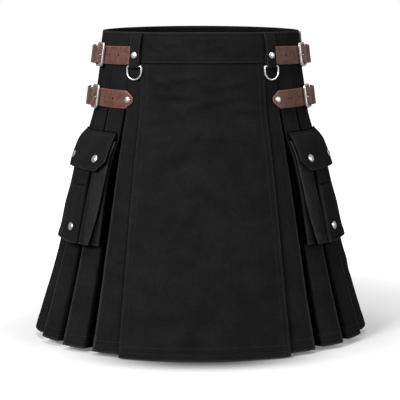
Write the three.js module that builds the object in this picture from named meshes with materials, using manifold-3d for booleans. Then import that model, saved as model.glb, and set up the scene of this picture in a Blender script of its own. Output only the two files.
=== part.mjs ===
// Black utility kilt in its worn shape: waistband, aprons, knife pleats, cargo pockets, straps and rings.
// Millimetres, +Z up. The front faces -Y and +X is the wearer's left. The origin is the centre of the waist.
// Angles run round the waist from the centre front, positive towards the wearer's left.
import * as THREE from 'three';
import { mergeVertices } from 'three/addons/utils/BufferGeometryUtils.js';
import Module from 'manifold-3d';

const wasm = await Module();
wasm.setup();

// Form: the oval that the outside of the kilt follows at each height
const FORM = [
  { z: 20, width: 192, depth: 135 },
  { z: -5, width: 194, depth: 137 },
  { z: -62, width: 200.5, depth: 142 },
  { z: -105, width: 207, depth: 147 },
  { z: -158, width: 214.5, depth: 153 },
  { z: -196, width: 225, depth: 161 },
  { z: -260, width: 242.5, depth: 173.5 },
  { z: -426, width: 286, depth: 205.5 },
  { z: -508, width: 309, depth: 222.5 },
  { z: -602, width: 338, depth: 244 },
  { z: -640, width: 349.5, depth: 252.5 },
];
const RIM_FRONT = -6;            // height of the top edge at the centre front
const RIM_RISE = 13;             // the top edge is this much higher at the centre back
const SIDE_RISE = 0.0083;        // the skirt flares most at the sides, so its levels rise by this share there

// Cloth and seams
const CLOTH = 1.6;               // one layer of twill
const SEAM_GAP = 0.3;            // between pieces that are sewn together
const HALF_GAP_ANGLE = 0.06;     // half of a seam's gap, in degrees round the waist
const MITRE_LIMIT = 0.4;         // keeps a mitred corner from running out too far

// Waistband
const BAND_HEIGHT = 58;
const BAND_CLOTH = 3.2;          // two layers of twill and the turned edges
const BAND_PROUD = 1.2;          // the band's outside stands this much past the skirt
const BAND_SEAM_ANGLE = 44.9;    // where the front waistband ends

// Skirt
const PLEATED_LENGTH = 601;      // top edge to hem at the pleats
const APRON_LENGTH = 605;
const APRON_ANGLE = { top: 35.3, hem: 28 };         // side edge of the front apron
const APRON_STAND_OFF = { top: 0.8, hem: 7 };       // outside of the apron past the form
const UNDER_LAYER_OUT = -1.3;    // outside of what lies under the apron
const APRON_UNDERLAP = 6;        // degrees that the first pleat reaches under the apron

// Pleats: behind each outer fold the cloth turns under, lies in a recess and steps up to the next face
const FIRST_FOLD_ANGLE = { top: 44.3, hem: 38.4 };
const BACK_FOLD_TO_CENTRE = { top: 7, hem: 14 };
const FOLDS_PER_SIDE = 10;
const SEWN_DOWN = 120;           // the pleats are flat down to this far below the top edge
const PLEAT_FLAT = {
  reach: 0.1, radius: 0.9, underlap: -1.2, fold: 1.8, floorEnd: 5, floor: 1.6, faceStart: 7, face: 1.4,
};
const PLEAT_OPEN = {
  reach: 4.6, radius: 2.3, underlap: 12, fold: 27, floorEnd: 21, floor: 25, faceStart: 28, face: 6,
};
const PANEL_SEAM = 0.4;          // panels are joined this share of the way across a recess's floor
const CENTRE_BACK_DEPTH = 0.85;  // share of a fold's depth at which the two sides meet
const PLEAT_ROWS = [0, 45, 90, 120, 160, 230, 330, 435, 545];
const SKIRT_PANELS = [
  { name: 'pleats_front', firstFold: 0, lastFold: 2 },
  { name: 'pleats_side', firstFold: 3, lastFold: 5 },
  { name: 'pleats_back', firstFold: 6, lastFold: 9 },
];

// Belt loops and rings
const LOOP_ANGLE = 39.4;
const LOOP_CLOTH = 1.8;
const LOOP_WIDTH = { top: 24, bottom: 21 };
const LOOP_STAND_OFF = 6.4;      // of the back loops
const LOOP_RIVET_DROP = 44;
const RING_WIRE = 1.8;           // wire radius
const RING_WIDTH = 34.6;
const RING_HEIGHT = 29;
const RING_CORNER = 3;
const RING_BAR_DROP = 64.8;      // below the top edge
const RING_REST_TILT = 2.3;      // degrees off plumb, where the ring lies on the cloth
const BACK_LOOP_ANGLE = 140;
const BACK_LOOP_WIDTH = 20;

// Leather straps with buckles
const LEATHER = 2.6;
const STRAP_HEIGHT = 35;
const FRAME_WIRE = 2.9;
const FRAME_HEIGHT = 47.6;
const FRAME_LENGTH = 35;
const FRAME_CORNER = 4;
const UPPER_STRAP = {
  name: 'upper', pointed: false,
  drop: 46, frontDrop: 44.7, frontAngle: 43.9, frameAngle: 68.5, onto: BAND_PROUD,
};
const LOWER_STRAP = {
  name: 'lower', pointed: true,
  drop: 128, frontDrop: 128.9, frontAngle: 39.1, frameAngle: 69.2, onto: 0.4,
};
const STRAP_TIP = [
  { x: 0, half: 4 },
  { x: 1.6, half: 6.5 },
  { x: 15.5, half: 17.5 },
  { x: 17, half: 17.5 },
];
const TIP_LENGTH = 15.5;
const TIP_RIVET_AT = 11.4;
const CHAPE_RIVET_AT = 71;
const HOLE_RADIUS = 2;
const HOLES_AT = [-16.2, -42.7]; // from the buckle's front bar
const DRILL_LENGTH = 16;
const CHAPE_SLOT = { length: 12, height: 7, depth: 18 };   // clears the prong where it turns on the bar
const PRONG_CLEARANCE = 0.5;

// Leather tab on the wearer's left hip
const HIP_TAB = { drop: 12.6, frontDrop: 12.6, frontAngle: 70, frameAngle: 77.5, onto: BAND_PROUD };
const HIP_TAB_SHAPE = [
  { x: 0, half: 7.5 },
  { x: 2.2, half: 9.9 },
  { x: 8, half: 10.6 },
  { x: 20, half: 10.6 },
  { x: 25.8, half: 9.9 },
  { x: 28, half: 7.5 },
];

// Cargo pockets
const POCKET_AXIS = { topDrop: 199, topAngle: 65.2, bottomDrop: 419, bottomAngle: 60 };
const POCKET_BOTTOM = 405;
const POCKET_ROWS = [208, 224, 245, 280, 325, 368, POCKET_BOTTOM];
const POCKET_SEAT = SEAM_GAP + 0.05;   // middle of the cloth where the pocket is sewn on
const FLAP_BOTTOM = 264;
const FLAP_CLIP = 19;
const CLIP_SLOPE = 0.95;         // width lost for each millimetre down the clipped corner
const FLAP_CLOTH = 2.4;
const FLAP_TURNED_UNTIL = 202;   // above this the flap's edge is turned in and lifted by half its cloth
const FLAP_SNAP_DROP = 242;
const STRIP_SNAP_DROP = 375;
const STRIP_SNAP_X = -4;
const SNAP_SPACING = 78;

const SNAP = { radius: 7.6, height: 3.2 };
const RIVET = { radius: 6.4, height: 2.8 };

function material(color, roughness, metalness) {
  return new THREE.MeshStandardMaterial({ color, roughness, metalness });
}

const twill = material(0x222224, 0.9, 0);
const leather = material(0x6b3f33, 0.6, 0);
const nickel = material(0xc9c6c0, 0.3, 1);

const kilt = new THREE.Group();
const mix = (from, to, share) => from + (to - from) * share;
const radians = THREE.MathUtils.degToRad;

// Smooth curve through a column of a table whose rows are ordered by a key
function column(table, key, name, at) {
  const rows = table[0][key] > table[table.length - 1][key] ? [...table].reverse() : table;
  const last = rows.length - 1;
  let i = rows.findIndex((row) => row[key] > at) - 1;
  if (at >= rows[last][key]) i = last - 1;
  i = Math.max(0, Math.min(last - 1, i));
  const slope = (j) => {
    const before = rows[Math.max(0, j - 1)];
    const after = rows[Math.min(last, j + 1)];
    return (after[name] - before[name]) / (after[key] - before[key]);
  };
  const span = rows[i + 1][key] - rows[i][key];
  const u = THREE.MathUtils.clamp((at - rows[i][key]) / span, 0, 1);
  const start = rows[i][name];
  const end = rows[i + 1][name];
  const bend = (1 - u) * u * span;
  return start + (end - start) * (3 - 2 * u) * u * u + bend * ((1 - u) * slope(i) - u * slope(i + 1));
}

// Height of a level of the cloth, given as its drop below the top edge
function heightAt(angle, drop) {
  const t = radians(angle);
  const rim = RIM_FRONT + RIM_RISE * ((1 - Math.cos(t)) / 2) ** 1.5;
  return rim - drop * (1 - SIDE_RISE * Math.sin(t) ** 4);
}

const halfWidth = (z) => column(FORM, 'z', 'width', z);
const halfDepth = (z) => column(FORM, 'z', 'depth', z);

// Outward direction, level with the ground, at an angle and height
function outward(angle, z) {
  const t = radians(angle);
  return new THREE.Vector3(Math.sin(t) / halfWidth(z), -Math.cos(t) / halfDepth(z), 0).normalize();
}

// Point at an angle, a drop below the top edge and a distance out from the form
function place(angle, drop, out) {
  const z = heightAt(angle, drop);
  const t = radians(angle);
  const onForm = new THREE.Vector3(halfWidth(z) * Math.sin(t), -halfDepth(z) * Math.cos(t), z);
  return onForm.addScaledVector(outward(angle, z), out);
}

// Arc lengths round the form's oval, from the centre front
const ovals = new Map();
function oval(drop) {
  if (ovals.has(drop)) return ovals.get(drop);
  const z = RIM_FRONT - drop;
  const lengths = [0];
  for (let angle = 1; angle <= 180; angle += 1) {
    const t = radians(angle - 0.5);
    const speed = Math.hypot(halfWidth(z) * Math.cos(t), halfDepth(z) * Math.sin(t));
    lengths.push(lengths[angle - 1] + speed * radians(1));
  }
  ovals.set(drop, lengths);
  return lengths;
}

function arcAt(drop, angle) {
  const lengths = oval(drop);
  const whole = Math.min(179, Math.floor(angle));
  return mix(lengths[whole], lengths[whole + 1], angle - whole);
}

function angleAt(drop, arc) {
  const lengths = oval(drop);
  if (arc < 0) return -angleAt(drop, -arc);
  if (arc > lengths[180]) return 360 - angleAt(drop, 2 * lengths[180] - arc);
  let whole = lengths.findIndex((length) => length > arc) - 1;
  if (whole < 0) whole = 179;
  return whole + (arc - lengths[whole]) / (lengths[whole + 1] - lengths[whole]);
}

// Closed mesh from rings of points: each ring is joined to the next, and the two ends are capped
function loft(rings) {
  const count = rings[0].length;
  const last = rings.length - 1;
  const positions = rings.flat().flatMap((point) => [point.x, point.y, point.z]);
  const index = [];
  for (let i = 0; i < last; i += 1) {
    const next = i + 1;
    for (let j = 0; j < count; j += 1) {
      const k = (j + 1) % count;
      index.push(i * count + j, next * count + j, next * count + k);
      index.push(i * count + j, next * count + k, i * count + k);
    }
  }
  capRing(index, rings[0], 0, 1);
  capRing(index, rings[last], last * count, -1);
  return meshFrom(positions, index);
}

// A cap for a ring made of an outer run of points and the same run back on the inside
function capRing(index, ring, base, turn) {
  const count = ring.length;
  for (let j = 0; j < count / 2 - 1; j += 1) {
    const quad = [j, j + 1, count - 2 - j, count - 1 - j].map((corner) => base + corner);
    const order = turn > 0 ? [0, 1, 2, 0, 2, 3] : [0, 2, 1, 0, 3, 2];
    index.push(...order.map((corner) => quad[corner]));
  }
}

function meshFrom(positions, index) {
  const geometry = new THREE.BufferGeometry();
  geometry.setAttribute('position', new THREE.Float32BufferAttribute(positions, 3));
  geometry.setIndex(index);
  return volume(geometry) < 0 ? turnedInsideOut(geometry) : geometry;
}

function volume(geometry) {
  const position = geometry.getAttribute('position');
  const corner = (i) => new THREE.Vector3().fromBufferAttribute(position, geometry.index.getX(i));
  let sum = 0;
  for (let i = 0; i < geometry.index.count; i += 3) sum += corner(i).dot(corner(i + 1).cross(corner(i + 2)));
  return sum / 6;
}

function turnedInsideOut(geometry) {
  const turned = geometry.clone();
  const order = [];
  for (let i = 0; i < geometry.index.count; i += 3) {
    order.push(geometry.index.getX(i), geometry.index.getX(i + 2), geometry.index.getX(i + 1));
  }
  turned.setIndex(order);
  return turned;
}

// A wall of cloth: rows of points on its outside and the matching rows on its inside
const wall = (outside, inside) => loft(outside.map((row, i) => [...row, ...[...inside[i]].reverse()]));

// Cutting and joining
function solid(geometry) {
  const bare = geometry.clone();
  bare.deleteAttribute('normal');
  bare.deleteAttribute('uv');
  const merged = mergeVertices(bare, 1e-4);
  return new wasm.Manifold(new wasm.Mesh({
    numProp: 3,
    vertProperties: new Float32Array(merged.getAttribute('position').array),
    triVerts: new Uint32Array(merged.index.array),
  }));
}

function geometryOf(manifold) {
  const mesh = manifold.getMesh();
  return meshFrom([...mesh.vertProperties], [...mesh.triVerts]);
}

function cut(body, ...tools) {
  return geometryOf(tools.reduce((left, tool) => left.subtract(solid(tool)), solid(body)));
}

function join(...bodies) {
  return geometryOf(bodies.map(solid).reduce((sum, body) => sum.add(body)));
}

function add(name, geometry, colour) {
  const mesh = new THREE.Mesh(geometry, colour);
  mesh.name = name;
  kilt.add(mesh);
}

// Adds a piece on the wearer's left and its mirror image on the right
function addPair(name, geometry, colour) {
  const indexed = geometry.index ? geometry : mergeVertices(geometry);
  const mirrored = turnedInsideOut(indexed).applyMatrix4(new THREE.Matrix4().makeScale(-1, 1, 1));
  add(`${name}_left`, indexed, colour);
  add(`${name}_right`, mirrored, colour);
}

// Local axes on the form: x round the waist towards the back, y up, z outward
function frameAt(angle, drop, out) {
  const origin = place(angle, drop, out);
  const normal = outward(angle, origin.z);
  const up = new THREE.Vector3(0, 0, 1);
  const around = new THREE.Vector3().crossVectors(up, normal);
  return new THREE.Matrix4().makeBasis(around, up, normal).setPosition(origin);
}

// Smooth run of values between rows of a table
function smoothRows(table, key, names, step) {
  const start = table[0][key];
  const end = table[table.length - 1][key];
  const count = Math.max(1, Math.round((end - start) / step));
  return Array.from({ length: count + 1 }, (_, i) => {
    const at = mix(start, end, i / count);
    return Object.fromEntries([[key, at], ...names.map((name) => [name, column(table, key, name, at)])]);
  });
}

// Moves a run of points in a plane sideways by half the cloth, with mitred corners
function offsetRun(points, distance) {
  return points.map((point, i) => {
    const before = points[Math.max(0, i - 1)];
    const after = points[Math.min(points.length - 1, i + 1)];
    const into = i > 0 ? point.clone().sub(before).normalize() : after.clone().sub(point).normalize();
    const onto = i < points.length - 1 ? after.clone().sub(point).normalize() : into;
    const mitre = new THREE.Vector2(-into.y - onto.y, into.x + onto.x).normalize();
    const lengthen = 1 / Math.max(MITRE_LIMIT, mitre.x * -into.y + mitre.y * into.x);
    return point.clone().addScaledVector(mitre, distance * lengthen);
  });
}

// Rounds a corner with a short arc
function fillet(before, corner, after, radius, steps) {
  const back = before.clone().sub(corner).normalize();
  const on = after.clone().sub(corner).normalize();
  const half = Math.acos(THREE.MathUtils.clamp(back.dot(on), -1, 1)) / 2;
  const tangent = radius / Math.tan(half);
  const centre = corner.clone().addScaledVector(back.clone().add(on).normalize(), radius / Math.sin(half));
  const start = corner.clone().addScaledVector(back, tangent).sub(centre);
  const turn = (Math.PI - 2 * half) * Math.sign(back.x * on.y - back.y * on.x) * -1;
  const origin = new THREE.Vector2();
  return Array.from({ length: steps + 1 }, (_, i) => (
    start.clone().rotateAround(origin, (turn * i) / steps).add(centre)
  ));
}

// Waistband
function bandPiece(fromAngle, toAngle, steps) {
  const rows = [];
  const inner = [];
  for (let i = 0; i <= steps; i += 1) {
    const angle = mix(fromAngle, toAngle, i / steps);
    rows.push([0, BAND_HEIGHT].map((drop) => place(angle, drop, BAND_PROUD)));
    inner.push([0, BAND_HEIGHT].map((drop) => place(angle, drop, BAND_PROUD - BAND_CLOTH)));
  }
  return wall(rows, inner);
}

function addWaistband() {
  const front = BAND_SEAM_ANGLE - HALF_GAP_ANGLE;
  const back = BAND_SEAM_ANGLE + HALF_GAP_ANGLE;
  add('waistband_front', bandPiece(-front, front, 16), twill);
  add('waistband_back', bandPiece(back, 360 - back, 48), twill);
}

// Skirt
const SKIRT_TOP = BAND_HEIGHT + SEAM_GAP;
const skirtShare = (drop) => (drop - SKIRT_TOP) / (PLEATED_LENGTH - SKIRT_TOP);
const apronAngle = (drop) => mix(APRON_ANGLE.top, APRON_ANGLE.hem, skirtShare(drop));

function apronWall(halfAngle, out, length, columns, rowCount) {
  const outside = [];
  const inside = [];
  for (let i = 0; i <= rowCount; i += 1) {
    const drop = mix(SKIRT_TOP, length, i / rowCount);
    const edge = halfAngle(drop);
    const angles = Array.from({ length: columns + 1 }, (_, j) => mix(-edge, edge, j / columns));
    outside.push(angles.map((angle) => place(angle, drop, out(drop))));
    inside.push(angles.map((angle) => place(angle, drop, out(drop) - CLOTH)));
  }
  return wall(outside, inside);
}

function addAprons() {
  const standOff = (drop) => mix(APRON_STAND_OFF.top, APRON_STAND_OFF.hem, skirtShare(drop));
  add('front_apron', apronWall(apronAngle, standOff, APRON_LENGTH, 14, 9), twill);
  const underEdge = (drop) => apronAngle(drop) - APRON_UNDERLAP - HALF_GAP_ANGLE;
  add('under_apron', apronWall(underEdge, () => UNDER_LAYER_OUT, PLEATED_LENGTH, 8, 6), twill);
}

// Arc position of an outer fold at a drop
function foldArc(fold, drop) {
  const share = skirtShare(drop);
  const first = arcAt(drop, mix(FIRST_FOLD_ANGLE.top, FIRST_FOLD_ANGLE.hem, share));
  const last = oval(drop)[180] - mix(BACK_FOLD_TO_CENTRE.top, BACK_FOLD_TO_CENTRE.hem, share);
  return mix(first, last, fold / (FOLDS_PER_SIDE - 1));
}

// Sizes of a pleat at a drop, from flat where it is sewn down to open at the hem
function pleatSizes(drop) {
  const open = Math.max(0, (drop - SEWN_DOWN) / (PLEATED_LENGTH - SEWN_DOWN));
  const entries = Object.entries(PLEAT_OPEN).map(([name, size]) => [name, mix(PLEAT_FLAT[name], size, open)]);
  return Object.fromEntries(entries);
}

// The run of one pleated panel at a drop: x is the arc from the centre front, y the distance out
function pleatRun(panel, drop) {
  const size = pleatSizes(drop);
  const corner = (arc, out) => new THREE.Vector2(arc, out - CLOTH / 2);
  const inner = (fold) => corner(foldArc(fold, drop) - size.underlap, -size.fold);
  const floorEnd = (fold) => corner(foldArc(fold, drop) + size.floorEnd, -size.floor);
  const faceStart = (fold) => corner(foldArc(fold, drop) + size.faceStart, -size.face);
  const seam = (fold, gap) => {
    const run = floorEnd(fold).sub(inner(fold));
    return inner(fold).add(run.multiplyScalar(PANEL_SEAM + gap / run.length()));
  };
  const run = [];
  if (panel.firstFold === 0) {
    const start = arcAt(drop, apronAngle(drop) - APRON_UNDERLAP);
    run.push(corner(start, UNDER_LAYER_OUT), corner(mix(start, foldArc(0, drop), 0.5), UNDER_LAYER_OUT / 2));
  } else {
    const before = panel.firstFold - 1;
    run.push(seam(before, SEAM_GAP / 2), floorEnd(before), faceStart(before));
  }
  for (let fold = panel.firstFold; fold <= panel.lastFold; fold += 1) {
    const ridge = corner(foldArc(fold, drop) + size.reach, 0);
    const atBack = fold === FOLDS_PER_SIDE - 1;
    const centre = corner(oval(drop)[180] - SEAM_GAP / 2, -size.fold * CENTRE_BACK_DEPTH);
    const after = atBack ? centre : floorEnd(fold);
    run.push(...fillet(run[run.length - 1], ridge, inner(fold), size.radius, 2));
    run.push(...fillet(ridge, inner(fold), after, size.radius, 2));
    if (atBack) run.push(centre);
    else if (fold === panel.lastFold) run.push(seam(fold, -SEAM_GAP / 2));
    else run.push(floorEnd(fold), faceStart(fold));
  }
  return run;
}

function pleatedPanel(panel) {
  const outside = [];
  const inside = [];
  for (const row of PLEAT_ROWS) {
    const drop = Math.min(PLEATED_LENGTH, SKIRT_TOP + row);
    const run = pleatRun(panel, drop);
    const onForm = (point) => place(angleAt(drop, point.x), drop, point.y);
    outside.push(offsetRun(run, CLOTH / 2).map(onForm));
    inside.push(offsetRun(run, -CLOTH / 2).map(onForm));
  }
  return wall(outside, inside);
}

function addPleats() {
  for (const panel of SKIRT_PANELS) addPair(panel.name, pleatedPanel(panel), twill);
}

// A flat strip down the waistband: x of the run is the height below the top edge, negative down, y is out
function loopStrip(angle, run, halfWidth) {
  const top = offsetRun(run, LOOP_CLOTH / 2);
  const bottom = offsetRun(run, -LOOP_CLOTH / 2);
  const rings = run.map((_, i) => {
    const half = halfWidth(i / (run.length - 1));
    const at = (point, side) => {
      const centre = place(angle, -point.x, point.y);
      const around = new THREE.Vector3(0, 0, 1).cross(outward(angle, centre.z));
      return centre.addScaledVector(around, side * half);
    };
    return [at(top[i], -1), at(top[i], 1), at(bottom[i], 1), at(bottom[i], -1)];
  });
  return loft(rings);
}

// Front belt loop: stands off the waistband, folds under the ring's bar and is riveted to itself
const LOOP_NEAR = BAND_PROUD + SEAM_GAP + LOOP_CLOTH / 2;
const RING_CLEARANCE = 0.35;
const RING_BAR_OUT = LOOP_NEAR + LOOP_CLOTH / 2 + RING_WIRE + RING_CLEARANCE;
const LOOP_FOLD = RING_WIRE + RING_CLEARANCE + LOOP_CLOTH / 2;
const LOOP_FAR = RING_BAR_OUT + LOOP_FOLD;
const FRONT_LOOP_RISE = [
  { drop: 0.6, rise: 0 },
  { drop: 4.5, rise: 0.4 },
  { drop: 9, rise: 0.75 },
  { drop: 18, rise: 0.94 },
  { drop: 40, rise: 1 },
];
const LOOP_END_DROPS = [54, 42]; // the loop's end turns up behind the ring
const LOOP_TAPER = 0.4;          // share of the loop's length over which it narrows
const BACK_LOOP_RISE = [
  { drop: 1.5, rise: 0 },
  { drop: 6, rise: 0.15 },
  { drop: 11, rise: 0.75 },
  { drop: 17, rise: 1 },
  { drop: 42, rise: 1 },
  { drop: 48, rise: 0.75 },
  { drop: 53, rise: 0.15 },
  { drop: 57, rise: 0 },
];

function frontLoop() {
  const point = (drop, out) => new THREE.Vector2(-drop, out);
  const run = FRONT_LOOP_RISE.map(({ drop, rise }) => point(drop, mix(LOOP_NEAR, LOOP_FAR, rise)));
  for (let i = 0; i <= 6; i += 1) {
    const turn = Math.PI * (i / 6);
    run.push(point(RING_BAR_DROP + LOOP_FOLD * Math.sin(turn), RING_BAR_OUT + LOOP_FOLD * Math.cos(turn)));
  }
  run.push(...LOOP_END_DROPS.map((drop) => point(drop, LOOP_NEAR)));
  const half = (share) => mix(LOOP_WIDTH.top, LOOP_WIDTH.bottom, Math.min(1, share / LOOP_TAPER)) / 2;
  return loopStrip(LOOP_ANGLE, run, half);
}

function backLoop() {
  const point = (drop, rise) => new THREE.Vector2(-drop, LOOP_NEAR + LOOP_STAND_OFF * rise);
  const run = BACK_LOOP_RISE.map(({ drop, rise }) => point(drop, rise));
  return loopStrip(BACK_LOOP_ANGLE, run, () => BACK_LOOP_WIDTH / 2);
}

// D-ring: a straight bar with a round bow, hanging on the loop's fold
class RingPath extends THREE.Curve {
  constructor() {
    super();
    const radius = RING_WIDTH / 2 - RING_WIRE;
    const side = RING_HEIGHT - 2 * RING_WIRE - radius;
    const corner = RING_CORNER;
    this.flat = new THREE.Path();
    this.flat.moveTo(0, 0);
    this.flat.lineTo(radius - corner, 0);
    this.flat.absarc(radius - corner, -corner, corner, Math.PI / 2, 0, true);
    this.flat.lineTo(radius, -side);
    this.flat.absarc(0, -side, radius, 0, -Math.PI, true);
    this.flat.lineTo(-radius, -corner);
    this.flat.absarc(-radius + corner, -corner, corner, Math.PI, Math.PI / 2, true);
    this.flat.lineTo(0, 0);
  }

  getPoint(share, target = new THREE.Vector3()) {
    const point = this.flat.getPointAt(share % 1);
    return target.set(point.x, point.y, 0);
  }
}

function ring() {
  const geometry = new THREE.TubeGeometry(new RingPath(), 30, RING_WIRE, 8, true);
  geometry.rotateX(-radians(RING_REST_TILT));
  return geometry.applyMatrix4(frameAt(LOOP_ANGLE, RING_BAR_DROP, RING_BAR_OUT));
}

// Axes on a curved surface: x round the waist towards the back, y up, z straight out of the surface
function seatOn(surface, x, drop, gap) {
  const around = surface(x + 2, drop).sub(surface(x - 2, drop)).normalize();
  const up = surface(x, drop - 2).sub(surface(x, drop + 2));
  const normal = new THREE.Vector3().crossVectors(around, up).normalize();
  const square = new THREE.Vector3().crossVectors(normal, around);
  const seat = surface(x, drop).addScaledVector(normal, gap);
  return new THREE.Matrix4().makeBasis(around, square, normal).setPosition(seat);
}

// Domed head of a snap or rivet
const DOME_RIM = 0.6;
function dome(size, seat) {
  const profile = [new THREE.Vector2(0, 0), new THREE.Vector2(size.radius, 0)];
  for (let i = 0; i < 3; i += 1) {
    const turn = (Math.PI / 6) * i;
    profile.push(new THREE.Vector2(size.radius * Math.cos(turn), mix(DOME_RIM, size.height, Math.sin(turn))));
  }
  profile.push(new THREE.Vector2(0, size.height));
  return new THREE.LatheGeometry(profile, 10).rotateX(Math.PI / 2).applyMatrix4(seat);
}

function addBeltLoops() {
  addPair('front_belt_loop', frontLoop(), twill);
  addPair('back_belt_loop', backLoop(), twill);
  addPair('d_ring', ring(), nickel);
  const face = (x, drop) => place(LOOP_ANGLE + x / 3, drop, LOOP_FAR + LOOP_CLOTH / 2);
  addPair('loop_rivet', dome(RIVET, seatOn(face, 0, LOOP_RIVET_DROP, SEAM_GAP)), nickel);
}

// Straps: a run measured round the form from the buckle's front bar, towards the back
function strapFrame(strap, x) {
  const arc = arcAt(strap.drop, strap.frameAngle) + x;
  const angle = angleAt(strap.drop, arc);
  const reach = strap.frameAngle - strap.frontAngle;
  const share = THREE.MathUtils.clamp((angle - strap.frontAngle) / reach, 0, 1);
  return { angle, drop: mix(strap.frontDrop, strap.drop, share) };
}

// Face of the leather at a distance out: x along the strap, down from its middle line
const leatherFace = (strap, out) => (x, down) => {
  const { angle, drop } = strapFrame(strap, x);
  return place(angle, drop + down, out + strap.onto);
};

function leatherRun(strap, run, halfHeight) {
  const top = offsetRun(run, LEATHER / 2);
  const bottom = offsetRun(run, -LEATHER / 2);
  const at = (point, offset) => {
    const { angle, drop } = strapFrame(strap, point.x);
    return place(angle, drop - offset, point.y + strap.onto);
  };
  const rings = run.map((point, i) => {
    const half = halfHeight(point.x, i);
    return [at(top[i], half), at(top[i], -half), at(bottom[i], -half), at(bottom[i], half)];
  });
  return loft(rings);
}

const STRAP_NEAR = 1.5 * SEAM_GAP + LEATHER / 2;
const BAR_CLEARANCE = 1.1;
const CHAPE_BEND = FRAME_WIRE + BAR_CLEARANCE + LEATHER / 2;   // radius of the leather's middle
const FRAME_OUT = STRAP_NEAR + CHAPE_BEND;
const BAR_SPACING = FRAME_LENGTH - 2 * FRAME_WIRE;
const OVER_BAR = FRAME_OUT + CHAPE_BEND + LEATHER + 1.5 * SEAM_GAP;
const STRAP_RISE = [
  { x: 3, out: STRAP_NEAR },
  { x: 8, out: STRAP_NEAR + 1.2 },
  { x: 15, out: 7.2 },
  { x: 22, out: OVER_BAR - 1.6 },
  { x: 28, out: OVER_BAR },
  { x: 36, out: OVER_BAR + 0.8 },
  { x: 44, out: OVER_BAR + 0.7 },
  { x: 54, out: OVER_BAR - 1 },
  { x: 63, out: OVER_BAR - 3.6 },
];
const CHAPE_UNDER = [80, 71, 62, 53, 44, 36];        // from its sewn end to the buckle's back bar
const CHAPE_SETTLING = { x: 36, share: 0.45 };       // how far it has come down behind the bar
const CHAPE_OVER = [46, 56, 66, 76];
const PRONG_RUN = [
  { x: 24.5, out: FRAME_OUT },
  { x: 17, out: FRAME_OUT + 1.2 },
  { x: 9, out: FRAME_OUT + 3.2 },
  { x: 3, out: FRAME_OUT + FRAME_WIRE + 2 },
  { x: -2.4, out: FRAME_OUT + FRAME_WIRE + 2 },
];
const PRONG_RADIUS = 1.5;

function rod(strap, run, radius, sides) {
  const rings = run.map(({ x, out }) => {
    const { angle, drop } = strapFrame(strap, x);
    const centre = place(angle, drop, out + strap.onto);
    const normal = outward(angle, centre.z);
    return Array.from({ length: sides }, (_, i) => {
      const turn = (2 * Math.PI * (i + 0.5)) / sides;
      const up = new THREE.Vector3(0, 0, radius * Math.cos(turn));
      return centre.clone().add(up).addScaledVector(normal, radius * Math.sin(turn));
    });
  });
  return loft(rings);
}

const strapStart = (strap) => arcAt(strap.drop, strap.frontAngle) - arcAt(strap.drop, strap.frameAngle);

function strapGeometry(strap) {
  const start = strapStart(strap);
  const tip = strap.pointed ? [0, 1.6, 8, TIP_LENGTH] : [0];
  const tipEnd = tip[tip.length - 1];
  const flat = [...tip];
  for (let i = 1; i < 8; i += 1) flat.push(mix(tipEnd, STRAP_RISE[0].x - start, i / 8));
  const run = flat.map((x) => new THREE.Vector2(start + x, STRAP_NEAR));
  run.push(...smoothRows(STRAP_RISE, 'x', ['out'], 5).map(({ x, out }) => new THREE.Vector2(x, out)));
  const inTip = (x) => x - start < tipEnd;
  const halfHeight = (x) => (inTip(x) ? column(STRAP_TIP, 'x', 'half', x - start) : STRAP_HEIGHT / 2);
  const body = leatherRun(strap, run, halfHeight);
  const holes = HOLES_AT.map((x) => {
    const { angle, drop } = strapFrame(strap, x);
    const drill = new THREE.CylinderGeometry(HOLE_RADIUS, HOLE_RADIUS, DRILL_LENGTH, 10);
    return drill.rotateX(Math.PI / 2).applyMatrix4(frameAt(angle, drop, strap.onto + STRAP_NEAR));
  });
  return cut(body, ...holes, rod(strap, PRONG_RUN, PRONG_RADIUS + PRONG_CLEARANCE, 6));
}

function chapeGeometry(strap) {
  const run = CHAPE_UNDER.map((x) => new THREE.Vector2(x, STRAP_NEAR));
  for (let i = 0; i <= 6; i += 1) {
    const turn = Math.PI * (i / 6);
    const bend = new THREE.Vector2(-Math.sin(turn), -Math.cos(turn)).multiplyScalar(CHAPE_BEND);
    run.push(bend.add(new THREE.Vector2(BAR_SPACING, FRAME_OUT)));
  }
  const over = STRAP_NEAR + LEATHER + SEAM_GAP;
  const settling = new THREE.Vector2(CHAPE_SETTLING.x, mix(FRAME_OUT + CHAPE_BEND, over, CHAPE_SETTLING.share));
  run.push(settling, ...CHAPE_OVER.map((x) => new THREE.Vector2(x, over)));
  const body = leatherRun(strap, run.reverse(), () => STRAP_HEIGHT / 2 - 1);
  const { angle, drop } = strapFrame(strap, BAR_SPACING - 6);
  const slot = new THREE.BoxGeometry(CHAPE_SLOT.length, CHAPE_SLOT.height, CHAPE_SLOT.depth);
  return cut(body, slot.applyMatrix4(frameAt(angle, drop, FRAME_OUT + strap.onto)));
}

function hipTab() {
  const run = HIP_TAB_SHAPE.map(({ x }) => new THREE.Vector2(x, STRAP_NEAR));
  return leatherRun(HIP_TAB, run, (x, i) => HIP_TAB_SHAPE[i].half);
}

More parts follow.
